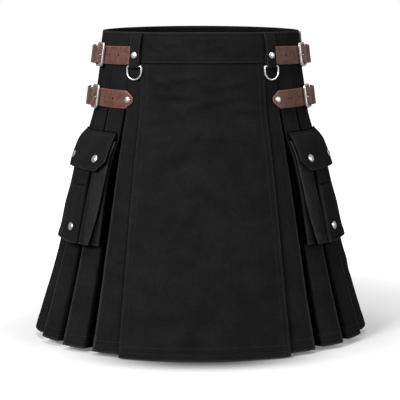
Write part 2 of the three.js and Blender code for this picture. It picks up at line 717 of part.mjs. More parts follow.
class FramePath extends THREE.Curve {
  constructor() {
    super();
    const x = BAR_SPACING / 2;
    const y = FRAME_HEIGHT / 2 - FRAME_WIRE;
    const corner = FRAME_CORNER;
    this.flat = new THREE.Path();
    this.flat.moveTo(0, y);
    this.flat.lineTo(x - corner, y);
    this.flat.absarc(x - corner, y - corner, corner, Math.PI / 2, 0, true);
    this.flat.lineTo(x, -y + corner);
    this.flat.absarc(x - corner, -y + corner, corner, 0, -Math.PI / 2, true);
    this.flat.lineTo(-x + corner, -y);
    this.flat.absarc(-x + corner, -y + corner, corner, -Math.PI / 2, -Math.PI, true);
    this.flat.lineTo(-x, y - corner);
    this.flat.absarc(-x + corner, y - corner, corner, Math.PI, Math.PI / 2, true);
    this.flat.lineTo(0, y);
  }

  getPoint(share, target = new THREE.Vector3()) {
    const point = this.flat.getPointAt(share % 1);
    return target.set(point.x, point.y, 0);
  }
}

// The frame is flat: its two bars are at the same distance from the cloth
function buckleFrame(strap) {
  const bar = (x, lift) => {
    const { angle, drop } = strapFrame(strap, x);
    return place(angle, drop - lift, FRAME_OUT + strap.onto);
  };
  const front = bar(0, 0);
  const back = bar(BAR_SPACING, 0);
  const around = back.clone().sub(front).normalize();
  const up = bar(BAR_SPACING / 2, FRAME_HEIGHT / 2).sub(bar(BAR_SPACING / 2, -FRAME_HEIGHT / 2));
  const normal = new THREE.Vector3().crossVectors(around, up).normalize();
  const square = new THREE.Vector3().crossVectors(normal, around);
  const axes = new THREE.Matrix4().makeBasis(around, square, normal);
  const geometry = new THREE.TubeGeometry(new FramePath(), 32, FRAME_WIRE, 7, true);
  return geometry.applyMatrix4(axes.setPosition(front.lerp(back, 0.5)));
}

function addStraps() {
  for (const strap of [UPPER_STRAP, LOWER_STRAP]) {
    addPair(`${strap.name}_strap`, strapGeometry(strap), leather);
    addPair(`${strap.name}_chape`, chapeGeometry(strap), leather);
    addPair(`${strap.name}_buckle`, buckleFrame(strap), nickel);
    addPair(`${strap.name}_prong`, rod(strap, PRONG_RUN, PRONG_RADIUS, 8), nickel);
    const onChape = leatherFace(strap, STRAP_NEAR + 1.5 * LEATHER + SEAM_GAP);
    addPair(`${strap.name}_chape_rivet`, dome(RIVET, seatOn(onChape, CHAPE_RIVET_AT, 0, SEAM_GAP)), nickel);
  }
  const onTip = leatherFace(LOWER_STRAP, STRAP_NEAR + LEATHER / 2);
  const tipSeat = seatOn(onTip, strapStart(LOWER_STRAP) + TIP_RIVET_AT, 0, SEAM_GAP);
  addPair('strap_tip_rivet', dome(RIVET, tipSeat), nickel);
  add('hip_tab_left', hipTab(), leather);
}

// Pockets: x is measured from the pocket's middle line, towards the back
function pocketPoint(x, drop, out) {
  const share = (drop - POCKET_AXIS.topDrop) / (POCKET_AXIS.bottomDrop - POCKET_AXIS.topDrop);
  const middle = arcAt(drop, mix(POCKET_AXIS.topAngle, POCKET_AXIS.bottomAngle, share));
  return place(angleAt(drop, middle + x), drop, out);
}

// How far the pocket stands out at its front and back edges, how far its front panel is tucked in,
// and half the widths of its middle strip and of the opening that the strip lies in
const POCKET_SHAPE = [
  { drop: 208, front: 0.5, back: 0.3, tuck: 0, strip: 18, groove: 29 },
  { drop: 237, front: 0.85, back: 0.4, tuck: 0, strip: 18, groove: 29 },
  { drop: 280, front: 1, back: 0.42, tuck: 0, strip: 20, groove: 29 },
  { drop: 345, front: 1, back: 0.48, tuck: 4, strip: 22, groove: 26 },
  { drop: 405, front: 0.95, back: 0.58, tuck: 15, strip: 20.5, groove: 23.5 },
];
const POCKET_HALF = 69;
const STRIP_OUT = 25.2;

// Half of the pocket's section, from its sewn edge round the bellows to its panel's inner edge.
// x is used where the pocket is slack, and folded where the bellows are pushed in under a full front.
const POCKET_SECTION = [
  { x: 69, folded: 69, tucked: 0, out: 0 },
  { x: 69, folded: 71, tucked: 0, out: 7.5 },
  { x: 68.4, folded: 60, tucked: 1, out: 11 },
  { x: 67, folded: 63, tucked: 1, out: 18 },
  { x: 64, folded: 60, tucked: 1, out: 19.5 },
  { x: 45, folded: 45, tucked: 0.4, out: 20 },
];
const FLOOR_POINTS = new Set([0, 3, 4, 5, 6, 9]);
const FLOOR_INSET = 0.1;

const pocketShape = (name, drop) => column(POCKET_SHAPE, 'drop', name, drop);
const pocketDepth = (x, drop) => mix(
  pocketShape('front', drop),
  pocketShape('back', drop),
  THREE.MathUtils.clamp((x + POCKET_HALF) / (2 * POCKET_HALF), 0, 1),
);

// The panel's edge, the groove and the strip's edge, from the outside in
function stripEdge(drop) {
  const strip = pocketShape('strip', drop);
  const groove = pocketShape('groove', drop);
  return [
    { x: groove, out: 19.5 },
    { x: mix(groove, strip, 0.45), out: 12 },
    { x: strip, out: 22.5 },
    { x: strip - 3, out: 24 },
  ];
}

function pocketRun(drop, wanted = () => true) {
  const fold = Math.max(0, pocketShape('front', drop) * 2 - 1);
  const tuck = pocketShape('tuck', drop);
  const inFront = POCKET_SECTION.map((row) => (
    { x: -mix(row.x, row.folded, fold) + tuck * row.tucked, out: row.out }
  ));
  const half = stripEdge(drop);
  const front = [...inFront, ...half.map(({ x, out }) => ({ x: -x, out }))].filter((row, i) => wanted(i));
  const back = [...POCKET_SECTION, ...half].filter((row, i) => wanted(i)).reverse();
  return [...front, { x: 0, out: STRIP_OUT }, ...back].map(({ x, out }) => (
    new THREE.Vector2(x, POCKET_SEAT + out * pocketDepth(x, drop))
  ));
}

function pocketBody() {
  const outside = [];
  const inside = [];
  for (const drop of POCKET_ROWS) {
    const run = pocketRun(drop);
    const onForm = (point) => pocketPoint(point.x, drop, point.y);
    outside.push(offsetRun(run, CLOTH / 2).map(onForm));
    inside.push(offsetRun(run, -CLOTH / 2).map(onForm));
  }
  const floorRing = (drop) => {
    const run = pocketRun(drop, (i) => FLOOR_POINTS.has(i));
    const edge = run.map((point) => pocketPoint(point.x, drop, point.y + FLOOR_INSET));
    const back = run.map((point) => pocketPoint(point.x, drop, POCKET_SEAT)).reverse();
    return [...edge, ...back];
  };
  const floor = loft([floorRing(POCKET_BOTTOM - CLOTH), floorRing(POCKET_BOTTOM - FLOOR_INSET)]);
  return join(wall(outside, inside), floor);
}

// Flap: half width and distance out at its front edge
const FLAP_SECTION = [
  { drop: 192, half: 58, out: 0.35 },
  { drop: 196, half: 60, out: 2.4 },
  { drop: 204, half: 62.5, out: 11 },
  { drop: 214, half: 64, out: 17.5 },
  { drop: 232, half: 64.5, out: 23 },
  { drop: 250, half: 65, out: 26.5 },
  { drop: FLAP_BOTTOM, half: 65, out: 28.5 },
];
const FLAP_BACK_SHARE = 0.66;    // the flap stands out less at its back edge

function flapOut(x, drop) {
  const out = column(FLAP_SECTION, 'drop', 'out', drop);
  const half = FLAP_SECTION[FLAP_SECTION.length - 1].half;
  const share = mix(1, FLAP_BACK_SHARE, THREE.MathUtils.clamp((x + half) / (2 * half), 0, 1));
  return Math.max(POCKET_SEAT, out * share);
}

function flap() {
  const outside = [];
  const inside = [];
  const columns = 10;
  for (const row of FLAP_SECTION) {
    const { drop } = row;
    const half = row.half - Math.max(0, drop - (FLAP_BOTTOM - FLAP_CLIP)) * CLIP_SLOPE;
    const across = Array.from({ length: columns + 1 }, (_, i) => mix(-half, half, i / columns));
    const lift = drop < FLAP_TURNED_UNTIL ? FLAP_CLOTH / 2 : 0;
    outside.push(across.map((x) => pocketPoint(x, drop - lift, flapOut(x, drop) + FLAP_CLOTH)));
    inside.push(across.map((x) => pocketPoint(x, drop, flapOut(x, drop))));
  }
  return wall(outside, inside);
}

function addPockets() {
  addPair('pocket', pocketBody(), twill);
  addPair('pocket_flap', flap(), twill);
  const flapFace = (x, drop) => pocketPoint(x, drop, flapOut(x, drop) + FLAP_CLOTH);
  const half = SNAP_SPACING / 2;
  addPair('flap_snap_front', dome(SNAP, seatOn(flapFace, -half, FLAP_SNAP_DROP, SEAM_GAP)), nickel);
  addPair('flap_snap_back', dome(SNAP, seatOn(flapFace, half, FLAP_SNAP_DROP, SEAM_GAP)), nickel);
  const stripOut = (drop) => SEAM_GAP + CLOTH / 2 + STRIP_OUT * pocketDepth(0, drop);
  const stripFace = (x, drop) => pocketPoint(x, drop, stripOut(drop));
  addPair('strip_snap', dome(SNAP, seatOn(stripFace, STRIP_SNAP_X, STRIP_SNAP_DROP, 2 * SEAM_GAP)), nickel);
}

addWaistband();
addAprons();
addPleats();
addBeltLoops();
addStraps();
addPockets();

export default kilt;
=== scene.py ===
"""Black utility kilt in its worn shape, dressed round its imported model.

Tables are in millimetres and degrees. Angles run round the waist from the centre front, positive
towards the wearer's left, which is +X. `place` turns them into points in metres.
"""

import math

import bmesh
import bpy
import numpy as np
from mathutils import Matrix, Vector


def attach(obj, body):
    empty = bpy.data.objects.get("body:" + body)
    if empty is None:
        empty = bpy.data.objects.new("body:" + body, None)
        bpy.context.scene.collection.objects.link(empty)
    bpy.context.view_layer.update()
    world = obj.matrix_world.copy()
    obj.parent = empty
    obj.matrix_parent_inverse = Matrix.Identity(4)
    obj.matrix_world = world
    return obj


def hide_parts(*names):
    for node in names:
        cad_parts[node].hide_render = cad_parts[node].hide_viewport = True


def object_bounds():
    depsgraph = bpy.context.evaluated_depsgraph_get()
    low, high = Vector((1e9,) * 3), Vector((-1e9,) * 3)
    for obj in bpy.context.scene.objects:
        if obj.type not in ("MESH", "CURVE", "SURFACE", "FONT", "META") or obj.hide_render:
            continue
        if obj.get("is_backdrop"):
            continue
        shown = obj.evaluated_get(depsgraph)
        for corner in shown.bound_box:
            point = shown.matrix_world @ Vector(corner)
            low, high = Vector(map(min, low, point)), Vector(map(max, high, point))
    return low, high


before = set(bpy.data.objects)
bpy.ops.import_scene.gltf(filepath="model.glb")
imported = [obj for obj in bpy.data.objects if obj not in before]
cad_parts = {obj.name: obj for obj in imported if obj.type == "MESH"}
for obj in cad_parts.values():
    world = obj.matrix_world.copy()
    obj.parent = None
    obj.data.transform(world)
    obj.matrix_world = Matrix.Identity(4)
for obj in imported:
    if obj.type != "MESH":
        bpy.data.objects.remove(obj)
CAD_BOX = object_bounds()

bl_info = {
    "name": "Utility Kilt",
    "version": (1, 0, 0),
    "blender": (4, 5, 0),
    "location": "3D View > Sidebar > Kilt",
    "description": "Builds a black utility kilt with leather straps and cargo pockets",
    "category": "Object",
}

MM = 0.001
BODY = "kilt"

# Form: the oval that the outside of the kilt follows at each height
FORM = [
    dict(z=20, width=192, depth=135),
    dict(z=-5, width=194, depth=137),
    dict(z=-62, width=200.5, depth=142),
    dict(z=-105, width=207, depth=147),
    dict(z=-158, width=214.5, depth=153),
    dict(z=-196, width=225, depth=161),
    dict(z=-260, width=242.5, depth=173.5),
    dict(z=-426, width=286, depth=205.5),
    dict(z=-508, width=309, depth=222.5),
    dict(z=-602, width=338, depth=244),
    dict(z=-640, width=349.5, depth=252.5),
]
RIM_FRONT = -6
RIM_RISE = 13
SIDE_RISE = 0.0083

# Cloth
CLOTH = 1.6
SEAM_GAP = 0.3
HALF_GAP_ANGLE = 0.06

# Waistband
BAND_HEIGHT = 58
BAND_CLOTH = 3.2
BAND_PROUD = 1.2
BAND_SEAM_ANGLE = 44.9
BAND_STITCHES = (3, 9.5, 49.5, 55)
BAND_COVERED = (40, 102)         # angles at each side where straps and loops lie on the waistband
STITCH_LIFT = 0.3                # how far the sewing stands off the cloth

# Skirt
SKIRT_TOP = BAND_HEIGHT + SEAM_GAP
SEAM_TUCK = 0.7                  # how far the skirt's top edge is taken into the waistband
PLEATED_LENGTH = 601
APRON_LENGTH = 605
APRON_EDGE = dict(top=35.3, hem=28)
APRON_STAND_OFF = dict(top=0.8, hem=7)
UNDER_LAYER_OUT = -1.3
APRON_UNDERLAP = 6
EDGE_STITCHES = (4, 13)
HEM_STITCHES = (11, 22)
TURNED_EDGE = 0.6
FIRST_FOLD = dict(top=44.3, hem=38.4)
LAST_FOLD_TO_CENTRE = dict(top=7, hem=14)
FOLDS_PER_SIDE = 10
SEWN_DOWN = 120
PLEAT_FLAT = dict(
    reach=0.1, radius=0.9, underlap=-1.2, fold=1.8, floor_end=5, floor=1.6, face_start=7, face=1.4, belly=0
)
PLEAT_OPEN = dict(
    reach=4.6, radius=2.3, underlap=12, fold=27, floor_end=21, floor=25, face_start=28, face=6, belly=0.9
)
PANELS = [
    dict(name="pleats_front", first=0, last=2),
    dict(name="pleats_side", first=3, last=5),
    dict(name="pleats_back", first=6, last=9),
]
PANEL_SEAM = 0.4
CENTRE_BACK_DEPTH = 0.85
PLEAT_STEPS = 4

# Creases: arc from the centre front, drop, half length, half width, turn and depth.
# The last rows lie on the back and the sides, which the photograph doesn't show.
CREASES = [
    dict(arc=-56, drop=118, half=34, wide=7, turn=2, depth=1.3),
    dict(arc=-34, drop=86, half=26, wide=6, turn=-6, depth=1.0),
    dict(arc=-82, drop=94, half=24, wide=6, turn=22, depth=0.9),
    dict(arc=-88, drop=164, half=22, wide=7, turn=-4, depth=0.9),
    dict(arc=8, drop=132, half=44, wide=9, turn=-14, depth=0.9),
    dict(arc=54, drop=98, half=30, wide=7, turn=-10, depth=1.0),
    dict(arc=80, drop=146, half=26, wide=7, turn=8, depth=0.9),
    dict(arc=36, drop=196, half=46, wide=11, turn=6, depth=0.8),
    dict(arc=-44, drop=228, half=52, wide=12, turn=-9, depth=0.8),
    dict(arc=62, drop=330, half=62, wide=15, turn=42, depth=1.1),
    dict(arc=6, drop=420, half=90, wide=18, turn=64, depth=1.0),
    dict(arc=-78, drop=400, half=64, wide=15, turn=-48, depth=0.9),
    dict(arc=-24, drop=520, half=70, wide=16, turn=-74, depth=0.9),
    dict(arc=84, drop=500, half=56, wide=14, turn=80, depth=0.9),
    dict(arc=-154, drop=300, half=24, wide=9, turn=12, depth=0.8),
    dict(arc=-172, drop=452, half=26, wide=10, turn=28, depth=0.9),
    dict(arc=154, drop=372, half=26, wide=10, turn=-18, depth=0.9),
    dict(arc=168, drop=540, half=24, wide=9, turn=10, depth=0.8),
    dict(arc=-254, drop=520, half=22, wide=9, turn=-14, depth=0.8),
    dict(arc=234, drop=490, half=22, wide=9, turn=20, depth=0.8),
    dict(arc=466, drop=150, half=40, wide=9, turn=8, depth=1.1),
    dict(arc=536, drop=190, half=46, wide=10, turn=-12, depth=1.0),
    dict(arc=-504, drop=166, half=42, wide=9, turn=-8, depth=1.1),
    dict(arc=-459, drop=260, half=38, wide=12, turn=30, depth=0.9),
    dict(arc=516, drop=330, half=44, wide=13, turn=-34, depth=0.9),
    dict(arc=-564, drop=400, half=48, wide=13, turn=40, depth=0.9),
    dict(arc=426, drop=470, half=40, wide=12, turn=16, depth=0.9),
]
CREASE_LIFT = 2.2

# Belt loops and rings
LOOP_ANGLE = 39.4
LOOP_CLOTH = 1.8
LOOP_WIDTH = dict(top=24, bottom=21)
LOOP_TAPER = 0.4
LOOP_STAND_OFF = 6.4
LOOP_RIVET_DROP = 44
BACK_LOOP_ANGLE = 140
BACK_LOOP_WIDTH = 20
RING_WIRE = 1.8
RING_WIDTH = 34.6
RING_HEIGHT = 29
RING_BAR_DROP = 64.8
RING_REST_TILT = 2.3
RING_CORNER = 3
LOOP_NEAR = BAND_PROUD + SEAM_GAP + LOOP_CLOTH / 2
RING_CLEARANCE = 0.35
LOOP_FOLD = RING_WIRE + RING_CLEARANCE + LOOP_CLOTH / 2
RING_BAR_OUT = LOOP_NEAR + LOOP_FOLD
LOOP_FAR = RING_BAR_OUT + LOOP_FOLD
FRONT_LOOP_RISE = [
    dict(drop=0.6, rise=0),
    dict(drop=4.5, rise=0.4),
    dict(drop=9, rise=0.75),
    dict(drop=18, rise=0.94),
    dict(drop=40, rise=1),
]
BACK_LOOP_RISE = [
    dict(drop=1.5, rise=0),
    dict(drop=6, rise=0.15),
    dict(drop=11, rise=0.75),
    dict(drop=17, rise=1),
    dict(drop=42, rise=1),
    dict(drop=48, rise=0.75),
    dict(drop=53, rise=0.15),
    dict(drop=57, rise=0),
]

# Leather straps and buckles, measured from the buckle's front bar towards the back
LEATHER = 2.6
STRAP_HEIGHT = 35
FRAME_WIRE = 2.9
FRAME_HEIGHT = 47.6
FRAME_LENGTH = 35
FRAME_CORNER = 4
STRAPS = [
    dict(name="upper", drop=46, front_drop=44.7, front=43.9, buckle=68.5, onto=BAND_PROUD, pointed=False),
    dict(name="lower", drop=128, front_drop=128.9, front=39.1, buckle=69.2, onto=0.4, pointed=True),
]
CHAPE_RIVET_AT = 71
TIP_RIVET_AT = 11.4
HOLE_RADIUS = 2
HOLES_AT = (-16.2, -42.7)
CHAPE_SLOT = dict(half_round=6, half_up=3.5)
DRILL_REACH = 8
STRAP_NEAR = 1.5 * SEAM_GAP + LEATHER / 2
CHAPE_BEND = FRAME_WIRE + 1.1 + LEATHER / 2
FRAME_OUT = STRAP_NEAR + CHAPE_BEND
BAR_SPACING = FRAME_LENGTH - 2 * FRAME_WIRE
OVER_BAR = FRAME_OUT + CHAPE_BEND + LEATHER + 1.5 * SEAM_GAP
OVER_CHAPE = STRAP_NEAR + LEATHER + SEAM_GAP
STRAP_RISE = [
    dict(x=3, out=STRAP_NEAR),
    dict(x=8, out=STRAP_NEAR + 1.2),
    dict(x=15, out=7.2),
    dict(x=22, out=OVER_BAR - 1.6),
    dict(x=28, out=OVER_BAR),
    dict(x=36, out=OVER_BAR + 0.8),
    dict(x=44, out=OVER_BAR + 0.7),
    dict(x=54, out=OVER_BAR - 1),
    dict(x=63, out=OVER_BAR - 3.6),
]
PRONG_RUN = [
    dict(x=-2.4, out=FRAME_OUT + FRAME_WIRE + 2),
    dict(x=3, out=FRAME_OUT + FRAME_WIRE + 2),
    dict(x=9, out=FRAME_OUT + 3.2),
    dict(x=17, out=FRAME_OUT + 1.2),
    dict(x=24.5, out=FRAME_OUT),
]
PRONG_RADIUS = 1.5
STRAP_TIP = [
    dict(x=0, half=4),
    dict(x=1.6, half=6.5),
    dict(x=15.5, half=17.5),
    dict(x=17, half=17.5),
]
TIP_LENGTH = 15.5

# Leather tab on the wearer's left hip
HIP_TAB = dict(drop=12.6, front_drop=12.6, front=70, buckle=77.5, onto=BAND_PROUD)
HIP_TAB_SHAPE = [
    dict(x=0, half=7.5),
    dict(x=2.2, half=9.9),
    dict(x=8, half=10.6),
    dict(x=20, half=10.6),
    dict(x=25.8, half=9.9),
    dict(x=28, half=7.5),
]

# Cargo pockets: x is measured from the pocket's middle line, towards the back.
# The shape gives how far the pocket stands out at its front and back edges, how far its front panel
# is tucked in, and half the widths of its strip and of the opening that the strip lies in.
POCKET_AXIS = dict(top_drop=199, top_angle=65.2, bottom_drop=419, bottom_angle=60)
POCKET_TOP = 208
POCKET_BOTTOM = 405
POCKET_HALF = 69
POCKET_SEAT = SEAM_GAP + 0.05
STRIP_OUT = 25.2
STRIP_SEAM = 296
POCKET_SHAPE = [
    dict(drop=208, front=0.5, back=0.3, tuck=0, strip=18, groove=29),
    dict(drop=237, front=0.85, back=0.4, tuck=0, strip=18, groove=29),
    dict(drop=280, front=1, back=0.42, tuck=0, strip=20, groove=29),
    dict(drop=345, front=1, back=0.48, tuck=4, strip=22, groove=26),
    dict(drop=405, front=0.95, back=0.58, tuck=15, strip=20.5, groove=23.5),
]
POCKET_SECTION = [
    dict(x=69, folded=69, tucked=0, out=0, fill=2),
    dict(x=69, folded=63, tucked=-0.2, out=9.5, fill=3),
    dict(x=67.6, folded=57, tucked=1, out=12, fill=1),
    dict(x=67, folded=64.5, tucked=1.1, out=18, fill=2),
    dict(x=64, folded=61.5, tucked=1.1, out=19.5, fill=1),
    dict(x=45, folded=45, tucked=0.4, out=20, fill=6),
]
STRIP_EDGE_FILL = (5, 2, 2, 1)
MIDDLE_FILL = 6
FLOOR_POINTS = (0, 3, 4, 5, 6, 9)
FLOOR_INSET = 0.1
FLAP_SECTION = [
    dict(drop=192, half=58, out=0.35),
    dict(drop=196, half=60, out=2.4),
    dict(drop=204, half=62.5, out=11),
    dict(drop=214, half=64, out=17.5),
    dict(drop=232, half=64.5, out=23),
    dict(drop=250, half=65, out=26.5),
    dict(drop=264, half=65, out=28.5),
]
FLAP_TOP = FLAP_SECTION[0]["drop"]
FLAP_BOTTOM = FLAP_SECTION[-1]["drop"]
FLAP_HALF = FLAP_SECTION[-1]["half"]
FLAP_CLIP = 19
CLIP_SLOPE = 0.95
FLAP_CLOTH = 2.4
FLAP_TURNED_UNTIL = 202
FLAP_BACK_SHARE = 0.66
FLAP_EDGE_STITCHES = 6
FLAP_TOP_STITCHES = 199
FLAP_SNAP_DROP = 242
STRIP_SNAP_DROP = 375
STRIP_SNAP_X = -4
SNAP_SPACING = 78
SNAP = dict(radius=7.6, height=3.2, lip=True)
RIVET = dict(radius=6.4, height=2.8, lip=False)

# Camera and room
PHOTO_WIDTH = 400
FOCAL_PIXELS = 1269
SENSOR_WIDTH = 36
CAMERA_DISTANCE = 2.545
CAMERA_SHIFT = -0.002
CAMERA_DOWN = 7.67
CAMERA_TURN = 1.81               # the photograph is taken this many degrees towards the wearer's right
FLOOR_BELOW_HEM = 0.002
FLOOR_REACH = 60
LAMPS_AIM_AT = (0, 0, -0.3)
ROOM_LIGHT = 0.3
FLOOR_GLOW = dict(near=0.18, far=0.9, start=0.32, end=1.2)
CONTACT_SHADOW = dict(
    half_x=0.347, half_y=0.252, start=1, end=1.34, side_start=0.02, side_end=0.3, side_low=0.1, dark=0.88
)
LAMPS = [
    dict(name="key", at=(-2.2, -2.5, 1.4), size=1.2, watts=120),
    dict(name="fill", at=(2.6, -1.8, 0.8), size=1.8, watts=30),
    dict(name="top", at=(-0.3, -0.2, 2.6), size=1.4, watts=34),
]


class KiltSizes(bpy.types.PropertyGroup):
    """Sizes that a user would change."""

    stitch: bpy.props.FloatProperty(
        name="Stitch", description="Length of one stitch", default=0.0028, unit="LENGTH"
    )
    stitch_gap: bpy.props.FloatProperty(
        name="Stitch gap", description="Gap between two stitches", default=0.0009, unit="LENGTH"
    )
    thread: bpy.props.FloatProperty(
        name="Thread", description="Thickness of the sewing thread", default=0.0006, unit="LENGTH"
    )
    twill_rib: bpy.props.FloatProperty(
        name="Twill rib", description="Spacing of the diagonal ribs", default=0.0012, unit="LENGTH"
    )
    leather_grain: bpy.props.FloatProperty(
        name="Leather grain", description="Size of the grain's cells", default=0.0016, unit="LENGTH"
    )


class KiltColours(bpy.types.PropertyGroup):
    """Colours that a user would change."""

    cloth: bpy.props.FloatVectorProperty(
        name="Cloth", description="Colour of the twill", subtype="COLOR", size=3,
        default=(0.0115, 0.0115, 0.0117),
    )
    # pale colour of worn edges, also used for a painted highlight on the pockets' bellows ridges
    pale_wear_and_highlight: bpy.props.FloatVectorProperty(
        name="Worn cloth", description="Twill along its folds and edges", subtype="COLOR", size=3,
        default=(0.05, 0.05, 0.05),
    )
    thread: bpy.props.FloatVectorProperty(
        name="Thread", description="Colour of the sewing thread", subtype="COLOR", size=3,
        default=(0.016, 0.016, 0.016),
    )
    leather: bpy.props.FloatVectorProperty(
        name="Leather", description="Colour of the straps", subtype="COLOR", size=3,
        default=(0.11, 0.045, 0.032),
    )
    leather_edge: bpy.props.FloatVectorProperty(
        name="Leather edge", description="Burnished edge of the straps", subtype="COLOR", size=3,
        default=(0.24, 0.08, 0.032),
    )
    nickel: bpy.props.FloatVectorProperty(
        name="Nickel", description="Colour of the buckles, rings and snaps", subtype="COLOR", size=3,
        default=(0.86, 0.85, 0.83),
    )
    floor: bpy.props.FloatVectorProperty(
        name="Floor", description="Colour of the floor", subtype="COLOR", size=3,
        default=(0.8, 0.8, 0.8),
    )


def sizes():
    return bpy.context.scene.kilt_sizes


def colours():
    return bpy.context.scene.kilt_colours


# Form


def column(table, key, name, at):
    """Smooth curve through a column of a table, read at values of its key."""
    rows = sorted(table, key=lambda row: row[key])
    keys = np.array([row[key] for row in rows], float)
    values = np.array([row[name] for row in rows], float)
    before = np.maximum(np.arange(len(rows)) - 1, 0)
    after = np.minimum(np.arange(len(rows)) + 1, len(rows) - 1)
    slopes = (values[after] - values[before]) / (keys[after] - keys[before])
    at = np.asarray(at, float)
    i = np.clip(np.searchsorted(keys, at, side="right") - 1, 0, len(rows) - 2)
    span = keys[i + 1] - keys[i]
    u = np.clip((at - keys[i]) / span, 0, 1)
    straight = values[i] + (values[i + 1] - values[i]) * (3 - 2 * u) * u * u
    return straight + (1 - u) * u * span * ((1 - u) * slopes[i] - u * slopes[i + 1])


def mix(start, end, share):
    return start + (end - start) * share


def smooth(share):
    """Soft step from 0 to 1."""
    u = np.clip(share, 0, 1)
    return u * u * (3 - 2 * u)


def unit(vector):
    return vector / np.linalg.norm(vector)


def hand(side):
    """The wearer's side, as the ends of names say it."""
    return "left" if side > 0 else "right"


def rim_height(angle):
    """Height of the top edge, which rises towards the back."""
    return RIM_FRONT + RIM_RISE * ((1 - np.cos(np.radians(angle))) / 2) ** 1.5


def outward(angle, z):
    """Level direction straight out of the form."""
    t = np.radians(angle)
    across = np.sin(t) / column(FORM, "z", "width", z)
    along = -np.cos(t) / column(FORM, "z", "depth", z)
    length = np.hypot(across, along)
    return np.stack([across / length, along / length, np.zeros_like(length)], -1)


def place(angle, drop, out):
    """Points in metres at an angle, a drop below the top edge and a distance out from the form."""
    angle, drop, out = np.broadcast_arrays(np.asarray(angle, float), drop, out)
    t = np.radians(angle)
    z = rim_height(angle) - drop * (1 - SIDE_RISE * np.sin(t) ** 4)
    x = column(FORM, "z", "width", z) * np.sin(t)
    y = -column(FORM, "z", "depth", z) * np.cos(t)
    return (np.stack([x, y, z], -1) + outward(angle, z) * out[..., None]) * MM


OVAL_ANGLES = np.arange(-180.0, 541.0)
OVALS = {}


def oval(drop):
    """Arc lengths round the form at whole angles, from the centre front."""
    key = round(float(drop), 3)
    if key not in OVALS:
        z = RIM_FRONT - key
        t = np.radians(OVAL_ANGLES[:-1] + 0.5)
        width, depth = column(FORM, "z", "width", z), column(FORM, "z", "depth", z)
        speed = np.hypot(width * np.cos(t), depth * np.sin(t)) * math.radians(1)
        lengths = np.concatenate([[0], np.cumsum(speed)])
        OVALS[key] = lengths - lengths[180]
    return OVALS[key]


def arc_at(drop, angle):
    return np.interp(angle, OVAL_ANGLES, oval(drop))


def angle_at(drop, arc):
    return np.interp(arc, oval(drop), OVAL_ANGLES)


def rumple(arc, drop):
    """How far the cloth is pushed out or in by its creases and its slack."""
    total = 0.28 * np.sin(arc / 37 + drop / 61) * np.sin(drop / 83 - arc / 129 + 1.3)
    total = total + 0.22 * np.sin(arc / 23 - drop / 47 + 0.6)
    for crease in CREASES:
        turn = math.radians(crease["turn"])
        across, down = arc - crease["arc"], drop - crease["drop"]
        along = (across * math.cos(turn) + down * math.sin(turn)) / crease["half"]
        side = (down * math.cos(turn) - across * math.sin(turn)) / crease["wide"]
        fold = np.exp(-side * side) - 0.7 * np.exp(-((side - 1.7) ** 2))
        total = total + crease["depth"] * fold * np.exp(-along * along)
    return CREASE_LIFT * total


# Meshes


def make_mesh(name, vertices, faces, uv=None, fields=None, sharp=35):
    """A mesh object at the origin from points in metres, with a UV map and named fields."""
    mesh = bpy.data.meshes.new(name)
    mesh.from_pydata(np.asarray(vertices, float).reshape(-1, 3).tolist(), [], faces)
    mesh.validate()
    if uv is not None:
        layer = mesh.uv_layers.new(name="cloth")
        corner = np.zeros(len(mesh.loops), np.int32)
        mesh.loops.foreach_get("vertex_index", corner)
        layer.data.foreach_set("uv", np.asarray(uv, float).reshape(-1, 2)[corner].ravel())
    for key, values in (fields or {}).items():
        attribute = mesh.attributes.new(key, "FLOAT", "POINT")
        attribute.data.foreach_set("value", np.asarray(values, np.float32).ravel())
    mesh.shade_smooth()
    mesh.set_sharp_from_angle(angle=math.radians(sharp))
    piece = bpy.data.objects.new(name, mesh)
    bpy.context.scene.collection.objects.link(piece)
    return piece


def ring_faces(rows, count, closed=False, caps=True):
    """Faces of a tube of `rows` rings with `count` points each."""
    i = np.arange(rows if closed else rows - 1)[:, None]
    j = np.arange(count)[None, :]
    following, onward = (i + 1) % rows, (j + 1) % count
    quads = np.stack(
        [i * count + j, i * count + onward, following * count + onward, following * count + j], -1
    )
    faces = quads.reshape(-1, 4).tolist()
    if caps and not closed:
        faces.append(list(range(count))[::-1])
        faces.append([(rows - 1) * count + k for k in range(count)])
    return faces


def wall_faces(rows, columns):
    """Faces of a wall whose rings run along its outside and back along its inside."""
    count = 2 * columns
    faces = ring_faces(rows, count, caps=False)
    for base, turned in ((0, True), ((rows - 1) * count, False)):
        for j in range(columns - 1):
            quad = [base + k for k in (j, j + 1, count - 2 - j, count - 1 - j)]
            faces.append(quad[::-1] if turned else quad)
    return faces


def closed_mesh(name, points, faces, side=1, **settings):
    """A closed mesh with its faces turned outwards, on the wearer's other side where side is -1."""
    points = np.asarray(points).reshape(-1, 3)
    if side < 0:
        points, faces = points * np.array([-1, 1, 1]), [face[::-1] for face in faces]
    piece = make_mesh(name, points, faces, **settings)
    work = bmesh.new()
    work.from_mesh(piece.data)
    bmesh.ops.recalc_face_normals(work, faces=work.faces)
    work.to_mesh(piece.data)
    work.free()
    return piece


def wall(name, outside, inside, uv, fields=None, side=1):
    """A wall of cloth from rows of points on its outside and on its inside, which is given full painted shade.
    """
    rows, columns = outside.shape[:2]
    points = np.concatenate([outside, inside[:, ::-1]], 1)
    uv = np.concatenate([uv, uv[:, ::-1]], 1)
    both = {}
    for key in ("wear_and_highlight", "recess"):
        values = (fields or {}).get(key, np.zeros((rows, columns)))
        # the inside is given full painted shade
        within = np.ones_like(values) if key == "recess" else values[:, ::-1]
        both[key] = np.concatenate([values, within], 1)
    return closed_mesh(name, points, wall_faces(rows, columns), side, uv=uv, fields=both)


def along_run(run):
    """Length along a run at each of its points."""
    return np.concatenate([[0], np.cumsum(np.linalg.norm(np.diff(run, axis=0), axis=1))])


